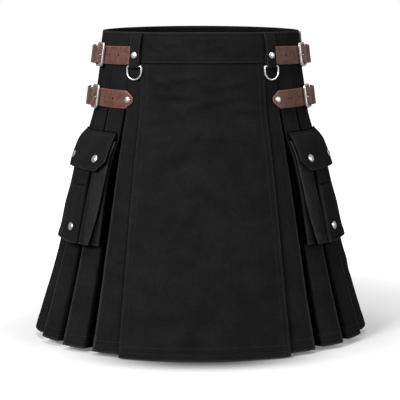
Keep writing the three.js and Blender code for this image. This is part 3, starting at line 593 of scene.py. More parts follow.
def offset_run(run, distance):
    """Moves a run of points in a plane sideways, with mitred corners."""
    step = np.diff(run, axis=0)
    step = step / np.maximum(np.linalg.norm(step, axis=1, keepdims=True), 1e-9)
    into = np.vstack([step[:1], step])
    onto = np.vstack([step, step[-1:]])
    across_in = np.stack([-into[:, 1], into[:, 0]], 1)
    mitre = across_in + np.stack([-onto[:, 1], onto[:, 0]], 1)
    mitre = mitre / np.maximum(np.linalg.norm(mitre, axis=1, keepdims=True), 1e-9)
    lengthen = 1 / np.maximum(0.4, (mitre * across_in).sum(1, keepdims=True))
    return run + mitre * np.asarray(distance).reshape(-1, 1) * lengthen


def fillet(before, corner, after, radius, steps):
    """Rounds a corner of a run with a short arc."""
    back, on = unit(before - corner), unit(after - corner)
    half = math.acos(float(np.clip(back @ on, -1, 1))) / 2
    if math.pi / 2 - half < 0.02:
        return np.repeat(corner[None], steps + 1, 0) + np.linspace(-0.05, 0.05, steps + 1)[:, None] * on
    tangent = min(radius / math.tan(half), 0.45 * np.linalg.norm(before - corner))
    tangent = min(tangent, 0.45 * np.linalg.norm(after - corner))
    radius = tangent * math.tan(half)
    centre = corner + unit(back + on) * (radius / math.sin(half))
    start = corner + back * tangent - centre
    sign = -np.sign(back[0] * on[1] - back[1] * on[0])
    turns = np.linspace(0, (math.pi - 2 * half) * sign, steps + 1)
    cos, sin = np.cos(turns), np.sin(turns)
    arc = np.stack([start[0] * cos - start[1] * sin, start[0] * sin + start[1] * cos], 1)
    return arc + centre


def rounded_run(corners, radii, steps, fill):
    """A run through corners, each rounded, with extra points on each straight stretch."""
    stretches = []
    for i, corner in enumerate(corners):
        if 0 < i < len(corners) - 1:
            stretches.append(fillet(corners[i - 1], corner, corners[i + 1], radii[i], steps))
        else:
            stretches.append(corner[None])
    run = [stretches[0]]
    for i, stretch in enumerate(stretches[1:]):
        shares = np.linspace(0, 1, fill[i] + 2)[1:-1, None]
        run.append(mix(run[-1][-1], stretch[0], shares))
        run.append(stretch)
    return np.vstack(run)


def tube(name, centres, first, second, closed=False, side=1, sharp=50, sides=16, squareness=1.0):
    """A rod along centres, with its section's two half axes as vectors."""
    turn = np.linspace(0, 2 * math.pi, sides, endpoint=False)
    cos = np.sign(np.cos(turn)) * np.abs(np.cos(turn)) ** squareness
    sin = np.sign(np.sin(turn)) * np.abs(np.sin(turn)) ** squareness
    points = centres[:, None] + first[:, None] * cos[:, None] + second[:, None] * sin[:, None]
    return closed_mesh(name, points, ring_faces(len(centres), sides, closed), side, sharp=sharp)


def ribbon(name, run, half, thickness, at, corner=0.6, across=8, side=1):
    """A flat strip with rounded edges. `at` turns a point of the run and a distance across to metres."""
    spread = np.linspace(-1, 1, across)
    arc = np.linspace(math.pi / 2, -math.pi / 2, 5)[1:-1]
    section = [(s, 0, 1, 0) for s in spread]
    section += [(1, math.cos(a) * corner, math.sin(a), 1) for a in arc]
    section += [(s, 0, -1, 0) for s in spread[::-1]]
    section += [(-1, -math.cos(a) * corner, math.sin(a), 1) for a in arc[::-1]]
    ends = np.minimum(np.arange(len(run)), np.arange(len(run))[::-1])
    thin = np.where(ends == 0, 0.45, np.where(ends == 1, 0.85, 1.0))
    rings, maps, edge = [], [], []
    length = along_run(run)
    for share, beyond, lift, is_edge in section:
        moved = offset_run(run, thickness / 2 * lift * thin)
        offset = share * (half - corner) + beyond
        rings.append(at(moved, offset))
        maps.append(np.stack([length, offset + 0 * length], 1) * MM)
        near = np.clip(1 - (half - np.abs(offset)) / 1.1, 0, 1)
        edge.append(np.maximum(np.maximum(near, is_edge), ends < 2))
    faces = ring_faces(len(run), len(section))
    uv, fields = np.stack(maps, 1), {"edge": np.stack(edge, 1)}
    return closed_mesh(name, np.stack(rings, 1), faces, side, uv=uv, fields=fields, sharp=60)


# Materials


def node(tree, kind, inputs=None, **settings):
    made = tree.nodes.new(kind)
    for key, value in settings.items():
        setattr(made, key, value)
    for key, value in (inputs or {}).items():
        if isinstance(value, bpy.types.NodeSocket):
            tree.links.new(value, made.inputs[key])
        else:
            made.inputs[key].default_value = value
    return made


def blank_material(name):
    """A new material, its node tree and the place in metres that its textures follow."""
    made = bpy.data.materials.new(name)
    made.use_nodes = True
    made.node_tree.nodes.clear()
    return made, made.node_tree, node(made.node_tree, "ShaderNodeTexCoord").outputs["Object"]


def finished(made, normal, inputs):
    """The material with its shader and output."""
    tree = made.node_tree
    shader = node(tree, "ShaderNodeBsdfPrincipled", {"Normal": normal, **inputs})
    node(tree, "ShaderNodeOutputMaterial", {"Surface": shader.outputs["BSDF"]})
    return made


def blend_colours(tree, share, first, second, kind="MIX"):
    return node(
        tree, "ShaderNodeMix", {"Factor": share, "A": first, "B": second}, data_type="RGBA", blend_type=kind
    ).outputs["Result"]


def noise(tree, where, scale, detail, roughness=0.5):
    inputs = {"Vector": where, "Scale": scale, "Detail": detail, "Roughness": roughness}
    return node(tree, "ShaderNodeTexNoise", inputs).outputs["Fac"]


def spread(tree, value, low, high, start=0.0, end=1.0, kind="LINEAR"):
    """Turns values from start to end into values from low to high."""
    inputs = {"Value": value, "From Min": start, "From Max": end, "To Min": low, "To Max": high}
    return node(tree, "ShaderNodeMapRange", inputs, interpolation_type=kind).outputs["Result"]


def bump(tree, height, strength, distance, under=None):
    """Roughens a surface by a height, on top of another bump."""
    inputs = {"Height": height, "Strength": strength, "Distance": distance}
    if under is not None:
        inputs["Normal"] = under
    return node(tree, "ShaderNodeBump", inputs).outputs["Normal"]


def product(tree, first, second):
    return node(tree, "ShaderNodeMath", {0: first, 1: second}, operation="MULTIPLY").outputs["Value"]


def length_of(tree, vector, scale):
    """Length of a vector whose parts are scaled first."""
    flat = node(tree, "ShaderNodeVectorMath", {0: vector, 1: scale}, operation="MULTIPLY")
    return node(tree, "ShaderNodeVectorMath", {0: flat.outputs["Vector"]}, operation="LENGTH").outputs["Value"]


def surface_field(tree, name):
    """A named field of the mesh."""
    return node(tree, "ShaderNodeAttribute", attribute_name=name, attribute_type="GEOMETRY").outputs["Fac"]


def scaled(colour, share=1):
    return (*(share * part for part in colour), 1)


def grey(level):
    return (level, level, level, 1)


def twill_material():
    """Black cotton twill: diagonal ribs, flecks, worn pale edges with a painted highlight on the pockets'
    bellows ridges, and painted shade in folds, under edges and on the inside.
    """
    made, tree, where = blank_material("black_twill")
    cloth_map = node(tree, "ShaderNodeUVMap", uv_map="cloth").outputs["UV"]
    turned = node(tree, "ShaderNodeMapping", {"Vector": cloth_map, "Rotation": (0, 0, math.radians(27))})
    rib = node(
        tree, "ShaderNodeTexWave",
        {"Vector": turned.outputs["Vector"], "Scale": math.pi / 10 / sizes().twill_rib, "Distortion": 0.6,
         "Detail": 1.0, "Detail Scale": 2.0},
    ).outputs["Fac"]
    fleck = noise(tree, where, 950, 2)
    patchy = spread(tree, noise(tree, where, 19, 6, 0.62), 0, 1, 0.38, 0.62)
    slubby = spread(tree, noise(tree, where, 240, 3, 0.75), 0, 1, 0.35, 0.65)
    # pale worn edges, and a painted highlight along the pockets' bellows ridges
    rub_and_highlight = product(tree, surface_field(tree, "wear_and_highlight"), noise(tree, where, 60, 2))
    base = colours().cloth
    tone = blend_colours(tree, patchy, scaled(base, 0.6), scaled(base, 1.2))
    toned = blend_colours(tree, 1.0, tone, blend_colours(tree, slubby, grey(0.68), grey(1.32)), "MULTIPLY")
    speckled = blend_colours(tree, fleck, toned, scaled(base, 1.3))
    faded_and_highlit = blend_colours(tree, rub_and_highlight, speckled, scaled(colours().pale_wear_and_highlight))
    # painted shade: the cloth goes almost black where its painted shade field is set
    coloured = blend_colours(tree, surface_field(tree, "recess"), faded_and_highlit, scaled(base, 0.03))
    nap = bump(tree, fleck, 0.25, 0.0004, bump(tree, rib, 0.35, 0.00035))
    return finished(made, nap, {
        "Base Color": coloured, "Roughness": 0.9, "Specular IOR Level": 0.0,
        "Sheen Weight": 0.01, "Sheen Roughness": 0.5, "Sheen Tint": grey(0.6),
    })


def thread_material():
    """Black sewing thread, its ply seen as fine mottling."""
    made, tree, where = blank_material("sewing_thread")
    ply = noise(tree, where, 1800, 1)
    base = colours().thread
    tone = blend_colours(tree, ply, scaled(base, 0.6), scaled(base, 1.5))
    twist = bump(tree, ply, 0.3, 0.0002)
    return finished(made, twist, {"Base Color": tone, "Roughness": 0.6, "Specular IOR Level": 0.4})


def leather_material():
    """Brown bridle leather: fine grain, cloudy dye, and burnished cut edges."""
    made, tree, where = blank_material("bridle_leather")
    grain = node(tree, "ShaderNodeTexVoronoi", {"Vector": where, "Scale": 1 / sizes().leather_grain})
    cloud = noise(tree, where, 115, 6, 0.72)
    dyed = node(tree, "ShaderNodeValToRGB", {"Fac": cloud})
    for stop, position, share in zip(dyed.color_ramp.elements, (0.36, 0.66), (0.62, 1.45)):
        stop.position, stop.color = position, scaled(colours().leather, share)
    edge = scaled(colours().leather_edge)
    coloured = blend_colours(tree, surface_field(tree, "edge"), dyed.outputs["Color"], edge)
    cells = bump(tree, grain.outputs["Distance"], 0.3, 0.0003)
    fine = bump(tree, noise(tree, where, 1100, 3), 0.25, 0.0003, cells)
    rough = spread(tree, cloud, 0.28, 0.5)
    return finished(made, fine, {"Base Color": coloured, "Roughness": rough, "Specular IOR Level": 0.45})


def nickel_material():
    """Satin nickel plate, a little worn."""
    made, tree, where = blank_material("satin_nickel")
    haze = noise(tree, where, 180, 3)
    base = colours().nickel
    tone = blend_colours(tree, haze, scaled(base, 0.88), scaled(base, 1.1))
    brushed = bump(tree, noise(tree, where, 2400, 2), 0.12, 0.0001)
    rough = spread(tree, haze, 0.24, 0.4)
    return finished(made, brushed, {"Base Color": tone, "Roughness": rough, "Metallic": 1.0})


def contact_shadow(tree, where):
    """How dark the floor is round the hem: darkest at the front and back, fading to the sides."""
    shadow = CONTACT_SHADOW
    away = length_of(tree, where, (1 / shadow["half_x"], 1 / shadow["half_y"], 0))
    near = spread(tree, away, shadow["dark"], 0.0, shadow["start"], shadow["end"], "SMOOTHSTEP")
    x = node(tree, "ShaderNodeSeparateXYZ", {"Vector": where}).outputs["X"]
    aside = node(tree, "ShaderNodeMath", {0: x}, operation="ABSOLUTE").outputs["Value"]
    start, end, low = (shadow[name] for name in ("side_start", "side_end", "side_low"))
    return product(tree, near, spread(tree, aside, 1.0, low, start, end, "SMOOTHSTEP"))


def floor_material():
    """White floor that glows away from the kilt, so that only the contact shadow shows."""
    made, tree, where = blank_material("pale_floor")
    level = FLOOR_GLOW
    away = length_of(tree, where, (1, 1, 0))
    glow = spread(tree, away, level["near"], level["far"], level["start"], level["end"], "SMOOTHSTEP")
    dark = contact_shadow(tree, where)
    return finished(made, bump(tree, noise(tree, where, 3, 2), 0.01, 0.001), {
        "Base Color": blend_colours(tree, dark, scaled(colours().floor), grey(0)),
        "Roughness": 0.9, "Specular IOR Level": 0.0,
        "Emission Color": blend_colours(tree, dark, grey(1), grey(0)), "Emission Strength": glow,
    })


MATERIAL_MAKERS = dict(
    black_twill=twill_material, sewing_thread=thread_material, bridle_leather=leather_material,
    satin_nickel=nickel_material, pale_floor=floor_material,
)


def material(name):
    """A material of the scene, made when it is first asked for."""
    return bpy.data.materials.get(name) or MATERIAL_MAKERS[name]()


def dress(piece, finish, *nodes, body=BODY):
    """Gives a piece its material and slot, its body, and the CAD nodes that it stands for."""
    piece.data.materials.clear()
    piece.data.materials.append(material(finish))
    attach(piece, body)
    if nodes:
        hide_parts(*nodes)
    return piece


# Stitching


def stitch_tree():
    """Node group that lays stitches along the edges of a mesh."""
    if "stitch_row" in bpy.data.node_groups:
        return bpy.data.node_groups["stitch_row"]
    tree = bpy.data.node_groups.new("stitch_row", "GeometryNodeTree")
    socket = tree.interface.new_socket
    socket("Geometry", in_out="INPUT", socket_type="NodeSocketGeometry")
    for name in ("Stitch", "Gap", "Thread"):
        socket(name, in_out="INPUT", socket_type="NodeSocketFloat")
    socket("Material", in_out="INPUT", socket_type="NodeSocketMaterial")
    socket("Geometry", in_out="OUTPUT", socket_type="NodeSocketGeometry")
    given = node(tree, "NodeGroupInput").outputs
    pitch = node(tree, "ShaderNodeMath", {0: given["Stitch"], 1: given["Gap"]}, operation="ADD")
    path = node(tree, "GeometryNodeMeshToCurve", {"Mesh": given["Geometry"]})
    marks = node(
        tree, "GeometryNodeCurveToPoints",
        {"Curve": path.outputs["Curve"], "Length": pitch.outputs["Value"]}, mode="LENGTH",
    )
    along = node(tree, "FunctionNodeAlignRotationToVector", {"Vector": marks.outputs["Tangent"]}, axis="X")
    size = node(
        tree, "ShaderNodeCombineXYZ", {"X": given["Stitch"], "Y": given["Thread"], "Z": given["Thread"]}
    )
    bead = node(tree, "GeometryNodeMeshUVSphere", {"Segments": 6, "Rings": 4, "Radius": 0.5})
    turned = node(
        tree, "GeometryNodeTransform", {"Geometry": bead.outputs["Mesh"], "Rotation": (0, math.pi / 2, 0)}
    )
    laid = node(
        tree, "GeometryNodeInstanceOnPoints",
        {"Points": marks.outputs["Points"], "Instance": turned.outputs["Geometry"],
         "Rotation": along.outputs["Rotation"], "Scale": size.outputs["Vector"]},
    )
    real = node(tree, "GeometryNodeRealizeInstances", {"Geometry": laid.outputs["Instances"]}).outputs
    shown = node(tree, "GeometryNodeSetMaterial", {"Geometry": real["Geometry"], "Material": given["Material"]})
    node(tree, "NodeGroupOutput", {"Geometry": shown.outputs["Geometry"]})
    return tree


def apply_modifiers(piece):
    """Gives a piece the mesh that its modifiers make."""
    made = bpy.data.meshes.new_from_object(piece.evaluated_get(bpy.context.evaluated_depsgraph_get()))
    piece.modifiers.clear()
    piece.data = made


def stitches(name, rows):
    """One piece of sewing from rows of points in metres."""
    points = np.vstack(rows)
    ends = np.cumsum([len(row) for row in rows])
    edges = [(i, i + 1) for i in range(len(points) - 1) if i + 1 not in ends]
    mesh = bpy.data.meshes.new(name)
    mesh.from_pydata(points.tolist(), edges, [])
    piece = bpy.data.objects.new(name, mesh)
    bpy.context.scene.collection.objects.link(piece)
    tree = stitch_tree()
    modifier = piece.modifiers.new("stitches", "NODES")
    modifier.node_group = tree
    lengths = dict(Stitch=sizes().stitch, Gap=sizes().stitch_gap, Thread=sizes().thread)
    values = dict(lengths, Material=material("sewing_thread"))
    for item in tree.interface.items_tree:
        if item.in_out == "INPUT" and item.name in values:
            modifier[item.identifier] = values[item.name]
    apply_modifiers(piece)
    piece.data.name = name
    piece.data.shade_smooth()
    dress(piece, "sewing_thread")


def mirror_rows(rows, side):
    return [row * np.array([side, 1, 1]) for row in rows]


# Skirt


def skirt_share(drop):
    """How far down the skirt a drop is, from 0 to 1."""
    return (drop - SKIRT_TOP) / (PLEATED_LENGTH - SKIRT_TOP)


def band_edge_shadow(drop):
    """Painted shadow line on the cloth just below the waistband's edge."""
    return 0.9 * np.exp(-(((drop - SKIRT_TOP) / 1.8) ** 2))


def apron_edge(drop):
    return mix(APRON_EDGE["top"], APRON_EDGE["hem"], skirt_share(drop))


def arcs_at(angle, drop):
    """Arc lengths of a grid of points whose rows each lie on one drop."""
    return np.stack([arc_at(levels[0], row) for levels, row in zip(drop, angle)])


def press_in(out, room):
    """Keeps a hollow in the cloth within the room behind it."""
    return np.where(out < 0, -room * np.tanh(-out / room), out)


def apron_out(angle, drop):
    """Distance out of the front apron's face: its creases and its turned edges."""
    share = skirt_share(drop)
    arc = arcs_at(angle, drop)
    from_side = arcs_at(apron_edge(drop), drop) - np.abs(arc)
    from_hem = APRON_LENGTH - drop
    turned = np.maximum(
        1 - smooth((from_side - EDGE_STITCHES[1]) / 2), 1 - smooth((from_hem - HEM_STITCHES[1]) / 2)
    )
    nip = sum(0.35 * np.exp(-(((from_side - row) / 1.3) ** 2)) for row in EDGE_STITCHES)
    nip = nip + sum(0.35 * np.exp(-(((from_hem - row) / 1.6) ** 2)) for row in HEM_STITCHES)
    ease = smooth((drop - SKIRT_TOP) / 10) * (0.25 + 0.75 * smooth(from_side / 14))
    creased = press_in(rumple(arc, drop) * ease, 0.4 + 5 * share)
    return mix(APRON_STAND_OFF["top"], APRON_STAND_OFF["hem"], share) + TURNED_EDGE * turned - nip + creased


def grid(start, end, rows, columns, edge):
    """Angles and drops of a panel that reaches as far round on both sides as its edge says."""
    drops = np.linspace(start, end, rows)[:, None]
    return edge(drops) * np.linspace(-1, 1, columns)[None, :], np.repeat(drops, columns, 1)


def front_apron():
    """The flat panel in front, hemmed and with its side edges turned."""
    angle, drop = grid(SKIRT_TOP - SEAM_TUCK, APRON_LENGTH, 200, 120, apron_edge)
    out = apron_out(angle, drop)
    arc = arcs_at(angle, drop)
    from_side = np.abs(arc[:, -1:]) - np.abs(arc)
    wear_and_highlight = np.maximum(0.6 - from_side / 2.5, 1 - (APRON_LENGTH - drop) / 2.5).clip(0, 1)
    uv = np.stack([arc, -drop], -1) * MM
    # painted shadow line under the waistband
    fields = {"wear_and_highlight": wear_and_highlight, "recess": band_edge_shadow(drop)}
    piece = wall("front_apron_cloth", place(angle, drop, out), place(angle, drop, out - CLOTH), uv, fields)
    dress(piece, "black_twill", "front_apron")
    apron_stitches()


def apron_stitches():
    drops = np.linspace(SKIRT_TOP + 2, APRON_LENGTH - 3, 160)[:, None]
    rows = []
    for inset in EDGE_STITCHES:
        angle = np.array([[angle_at(drop, arc_at(drop, apron_edge(drop)) - inset)] for drop in drops[:, 0]])
        for side in (-1, 1):
            rows.append(place(side * angle, drops, apron_out(side * angle, drops) + STITCH_LIFT)[:, 0])
    for lift in HEM_STITCHES:
        drop = np.full((1, 120), APRON_LENGTH - lift, float)
        edge = apron_edge(drop[0, 0]) - 0.8
        angle = np.linspace(-edge, edge, 120)[None, :]
        rows.append(place(angle, drop, apron_out(angle, drop) + STITCH_LIFT)[0])
    stitches("apron_stitching", rows)


def under_apron_edge(drop):
    return apron_edge(drop) - APRON_UNDERLAP - HALF_GAP_ANGLE


def under_apron():
    """The layer behind the front apron, which only shows from below."""
    angle, drop = grid(SKIRT_TOP - SEAM_TUCK, PLEATED_LENGTH, 40, 30, under_apron_edge)
    slack = -0.5 * np.sin(drop / 60) ** 2
    outside = place(angle, drop, UNDER_LAYER_OUT + slack)
    inside = place(angle, drop, UNDER_LAYER_OUT + slack - CLOTH)
    uv = np.stack([arcs_at(angle, drop), -drop], -1) * MM
    piece = wall("under_apron_cloth", outside, inside, uv)
    dress(piece, "black_twill", "under_apron")


def fold_arc(fold, drop):
    """Arc of a pleat's edge; the folds are spread evenly from the apron to the centre back."""
    share = skirt_share(drop)
    first = arc_at(drop, mix(FIRST_FOLD["top"], FIRST_FOLD["hem"], share))
    last = arc_at(drop, 180) - mix(LAST_FOLD_TO_CENTRE["top"], LAST_FOLD_TO_CENTRE["hem"], share)
    return mix(first, last, fold / (FOLDS_PER_SIDE - 1))


def pleat_sizes(drop):
    """The pleats are flat where they are sewn down, and open evenly below that."""
    opened = max(0, (drop - SEWN_DOWN) / (PLEATED_LENGTH - SEWN_DOWN))
    return {name: mix(PLEAT_FLAT[name], PLEAT_OPEN[name], opened) for name in PLEAT_OPEN}


def pleat_corners(panel, drop):
    """A panel's corners at a drop, in order, each with its radius, the points before it and its kind."""
    size = pleat_sizes(drop)

    def corner(kind, arc, out, radius=2, fill=3):
        return dict(kind=kind, at=np.array([arc, out - CLOTH / 2]), radius=radius, fill=fill)

    def inner(fold):
        return corner("inner", fold_arc(fold, drop) - size["underlap"], -size["fold"], size["radius"], 4)

    def floor_end(fold):
        return corner("floor", fold_arc(fold, drop) + size["floor_end"], -size["floor"])

    def face_start(fold):
        return corner("start", fold_arc(fold, drop) + size["face_start"], -size["face"])

    def seam(fold, gap):
        start, run = inner(fold)["at"], floor_end(fold)["at"] - inner(fold)["at"]
        at = start + run * (PANEL_SEAM + gap / np.linalg.norm(run))
        return dict(kind="seam", at=at, radius=0, fill=3)

    if panel["first"] == 0:
        start = arc_at(drop, apron_edge(drop) - APRON_UNDERLAP)
        middle = mix(start, fold_arc(0, drop), 0.5)
        corners = [corner("seam", start, UNDER_LAYER_OUT), corner("start", middle, UNDER_LAYER_OUT / 2, 1, 4)]
    else:
        before = panel["first"] - 1
        corners = [seam(before, SEAM_GAP / 2), floor_end(before), face_start(before)]
    for fold in range(panel["first"], panel["last"] + 1):
        corners.append(corner("ridge", fold_arc(fold, drop) + size["reach"], 0, size["radius"], 8))
        corners.append(inner(fold))
        if fold == FOLDS_PER_SIDE - 1:
            centre = arc_at(drop, 180) - SEAM_GAP / 2
            corners.append(corner("seam", centre, -size["fold"] * CENTRE_BACK_DEPTH, 0))
        elif fold == panel["last"]:
            corners.append(seam(fold, -SEAM_GAP / 2))
        else:
            corners += [floor_end(fold), face_start(fold)]
    return corners


def pleat_run(panel, drop, side):
    """A panel's middle run at a drop, with how worn each point is and how much painted shade it gets."""
    corners = pleat_corners(panel, drop)
    size = pleat_sizes(drop)
    fill = [corner["fill"] for corner in corners[1:]]
    points, radii = ([corner[key] for corner in corners] for key in ("at", "radius"))
    run = rounded_run(points, radii, PLEAT_STEPS, fill)
    depth = -(run[:, 1] + CLOTH / 2)
    # painted shade, darker as a point lies further into its fold
    recess = smooth((depth - size["face"]) / (0.6 * (size["fold"] - size["face"]) + 0.3))
    recess = recess * mix(0.35, 1, float(smooth((drop - SEWN_DOWN + 40) / 50)))
    wear_and_highlight = np.zeros(len(run))
    at = 1
    for corner in corners[1:]:
        stretch = np.arange(at, at + corner["fill"])
        at += corner["fill"]
        if corner["kind"] == "ridge":
            run[stretch, 1] += size["belly"] * np.sin(np.linspace(0, math.pi, len(stretch) + 2)[1:-1])
            wear_and_highlight[at:at + PLEAT_STEPS + 1] = mix(0.15, 1, float(smooth((drop - SEWN_DOWN) / 60)))
        at += PLEAT_STEPS + 1
    soft = rumple(side * run[:, 0], drop) * float(smooth((drop - SKIRT_TOP) / 30)) * (1 - recess)
    covered = drop < POCKET_BOTTOM and run[0, 0] < arc_at(drop, 100)
    run[:, 1] += np.minimum(soft, 0) * 0.6 if covered else soft * 0.8
    # painted shadow lines beside the apron's edge and under the waistband
    apron_edge_shadow = np.exp(-(((run[:, 0] - arc_at(drop, apron_edge(drop))) / 2.2) ** 2))
    recess = np.maximum(recess, np.maximum(band_edge_shadow(drop), 0.9 * apron_edge_shadow))
    return run, wear_and_highlight, recess


def hem_turn(drop):
    """The turned hem is a little thicker than the cloth."""
    return TURNED_EDGE * float(1 - smooth((PLEATED_LENGTH - drop - HEM_STITCHES[1]) / 2))


def pleat_points(run, drop, out):
    moved = offset_run(run, out)
    return place(angle_at(drop, moved[:, 0]), drop, moved[:, 1])


def pleated_panel(panel, side):
    """Builds one panel of pleats. Its hem's rows of stitches are returned."""
    flat_rows = np.linspace(SKIRT_TOP - SEAM_TUCK, SEWN_DOWN, 10)[:-1]
    drops = np.concatenate([flat_rows, np.linspace(SEWN_DOWN, PLEATED_LENGTH, 90)])
    outside, inside, uv, worn, painted_dark = [], [], [], [], []
    for drop in drops:
        run, wear_and_highlight, recess = pleat_run(panel, drop, side)
        outside.append(pleat_points(run, drop, CLOTH / 2 + hem_turn(drop) / 2))
        inside.append(pleat_points(run, drop, -CLOTH / 2))
        uv.append(np.stack([along_run(run), np.full(len(run), -drop)], 1) * MM)
        near_hem = max(0, 1 - (PLEATED_LENGTH - drop) / 2.5)
        worn.append(np.maximum(wear_and_highlight * (0.35 + 0.65 * skirt_share(drop)), near_hem) * (1 - recess))
        painted_dark.append(recess)
    uv = np.stack(uv)
    name = f"{panel['name']}_{hand(side)}"
    fields = {"wear_and_highlight": np.stack(worn), "recess": np.stack(painted_dark)}
    piece = wall(f"{name}_cloth", np.stack(outside), np.stack(inside), uv, fields, side)
    dress(piece, "black_twill", name)
    area = float((uv[1:, -1, 0] + uv[:-1, -1, 0]) @ -np.diff(uv[:, 0, 1])) / 2
    return hem_rows(panel, side)


def hem_rows(panel, side):
    rows = []
    for lift in HEM_STITCHES:
        drop = PLEATED_LENGTH - lift
        run, _, _ = pleat_run(panel, drop, side)
        rows.append(pleat_points(run, drop, CLOTH / 2 + hem_turn(drop) / 2 + STITCH_LIFT))
    return mirror_rows(rows, side)


# Waistband


def band_section():
    """Half round top, padded face and flat back, as drops and distances out."""
    half = BAND_CLOTH / 2
    middle = BAND_PROUD - half
    face = np.linspace(2, BAND_HEIGHT - 1, 24)
    low, high = BAND_STITCHES[1:3]
    swell = 0.5 * np.sin(np.clip((face - low) / (high - low), 0, 1) * math.pi)
    nip = sum(0.45 * np.exp(-(((face - row) / 1.6) ** 2)) for row in BAND_STITCHES)
    outer = np.stack([face, middle + half + swell - nip], 1)
    foot = np.array([[BAND_HEIGHT, middle + half * 0.5], [BAND_HEIGHT, middle - half * 0.5]])
    back = np.stack([face[::-3], np.full(len(face[::-3]), middle - half)], 1)
    turn = np.linspace(math.pi, 0, 7)[1:-1]
    top = np.stack([half - half * np.sin(turn), middle + half * np.cos(turn)], 1)
    return np.vstack([outer, foot, back, top])


def waistband(name, start, end, columns):
    """Builds a stretch of the waistband between two angles. Its rows of stitches are returned."""
    section = band_section()
    angles = np.linspace(start, end, columns)
    angle, drop = np.meshgrid(angles, section[:, 0], indexing="ij")
    arc = arc_at(30, angle)
    middle = np.sin(np.clip(drop / BAND_HEIGHT, 0, 1) * math.pi)
    slack = rumple(arc * 1.3 + 40, drop * 1.2 + 60) * 0.5 * middle
    first, last = BAND_COVERED
    covered = (np.abs(angle) > first) & (np.abs(angle) < last) | (np.abs(angle - 360) < last)
    slack = np.where(covered, np.minimum(slack, 0), slack)
    out = section[:, 1] + slack * (section[:, 1] > BAND_PROUD - BAND_CLOTH / 2)
    wear_and_highlight = np.exp(-((drop / 1.6) ** 2)) + 0.7 * np.exp(-(((drop - BAND_HEIGHT) / 1.6) ** 2))
    uv = np.stack([arc, -drop], -1) * MM
    faces = ring_faces(columns, len(section))
    # painted shade on the band's inside rows
    lining_shade = np.broadcast_to((section[:, 1] < BAND_PROUD - BAND_CLOTH / 2) * 0.5, drop.shape)
    fields = {"wear_and_highlight": wear_and_highlight, "recess": lining_shade}
    piece = closed_mesh(f"{name}_cloth", place(angle, drop, out), faces, uv=uv, fields=fields)
    dress(piece, "black_twill", name)
    return [place(angles, row, BAND_PROUD - 0.25) for row in BAND_STITCHES]


# Leather


def strap_frame(strap, x):
    """Angle and drop of the strap's middle line at a distance from the buckle's front bar."""
    arc = arc_at(strap["drop"], strap["buckle"]) + x
    angle = angle_at(strap["drop"], arc)
    share = np.clip((angle - strap["front"]) / (strap["buckle"] - strap["front"]), 0, 1)
    return angle, mix(strap["front_drop"], strap["drop"], share)


def strap_start(strap):
    return float(arc_at(strap["drop"], strap["front"]) - arc_at(strap["drop"], strap["buckle"]))


def on_strap(strap):
    """Turns points of a run and distances up from the middle line into metres."""

    def at(points, up):
        angle, drop = strap_frame(strap, points[:, 0])
        return place(angle, drop - up, points[:, 1] + strap["onto"])

    return at


def strap_run(strap):
    """The strap's middle line from its front end over the buckle's back bar, with half its height."""
    start = strap_start(strap)
    near = [start, start + 0.5, start + 1.2]
    near += list(np.linspace(start + 2, start + TIP_LENGTH + 3, 12))
    flat = np.concatenate([near, np.arange(start + TIP_LENGTH + 5, 2.5, 2)])
    rise = np.arange(3, 62, 1.5)
    rise = np.concatenate([rise, [62, 62.6, 63]])
    run = np.concatenate([
        np.stack([flat, np.full(len(flat), STRAP_NEAR)], 1),
        np.stack([rise, column(STRAP_RISE, "x", "out", rise)], 1),
    ])
    half = np.full(len(run), STRAP_HEIGHT / 2)
    if strap["pointed"]:
        tip = run[:, 0] - start < TIP_LENGTH
        half[tip] = column(STRAP_TIP, "x", "half", run[tip, 0] - start)
    return run, half


def axes(around, up):
    """Directions round, up and straight out of a surface, from one round it and one roughly up."""
    around = unit(around)
    normal = unit(np.cross(around, up))
    return around, np.cross(normal, around), normal


def surface_axes(at, x, out, reach=2.0):
    """Seat on a surface: its point, and its directions round, up and straight out."""
    here = at(np.array([[x, out]]), 0.0)[0]
    around = at(np.array([[x + reach, out]]), 0.0)[0] - at(np.array([[x - reach, out]]), 0.0)[0]
    up = at(np.array([[x, out]]), reach)[0] - at(np.array([[x, out]]), -reach)[0]
    return here, *axes(around, unit(up))


def punch(piece, cutters):
    """Cuts holes with closed tools, which are removed."""
    for cutter in cutters:
        modifier = piece.modifiers.new("hole", "BOOLEAN")
        modifier.object = cutter
        modifier.operation = "DIFFERENCE"
        modifier.solver = "EXACT"
    apply_modifiers(piece)
    for cutter in cutters:
        bpy.data.objects.remove(cutter)


def drill(seat, half_round, half_up, depth, side, sides):
    """A closed cutting tool that stands straight out of its seat."""
    here, around, up, normal = seat
    centres = here + normal * np.array([[-depth], [depth]]) * MM
    first, second = (np.repeat(half[None] * MM, 2, 0) for half in (around * half_round, up * half_up))
    return tube("drill", centres, first, second, side=side, sides=sides)


def burnish_holes(piece, seats, side):
    """Marks the rims of the punched holes as burnished leather."""
    count = len(piece.data.vertices)
    points = np.zeros(count * 3)
    piece.data.vertices.foreach_get("co", points)
    points = points.reshape(-1, 3) * np.array([side, 1, 1])
    attribute = piece.data.attributes["edge"]
    values = np.zeros(count, np.float32)
    attribute.data.foreach_get("value", values)
    for here, _, _, normal in seats:
        offset = points - here
        away = np.linalg.norm(offset - (offset @ normal)[:, None] * normal, axis=1)
        values = np.maximum(values, (away < 1.1 * HOLE_RADIUS * MM) * 0.3)
    attribute.data.foreach_set("value", values.astype(np.float32))


def prong_centres(strap):
    """The prong's middle line, as a run and in metres."""
    xs = np.linspace(PRONG_RUN[0]["x"], PRONG_RUN[-1]["x"], 24)
    run = np.stack([xs, column(PRONG_RUN, "x", "out", xs)], 1)
    return run, on_strap(strap)(run, 0.0)


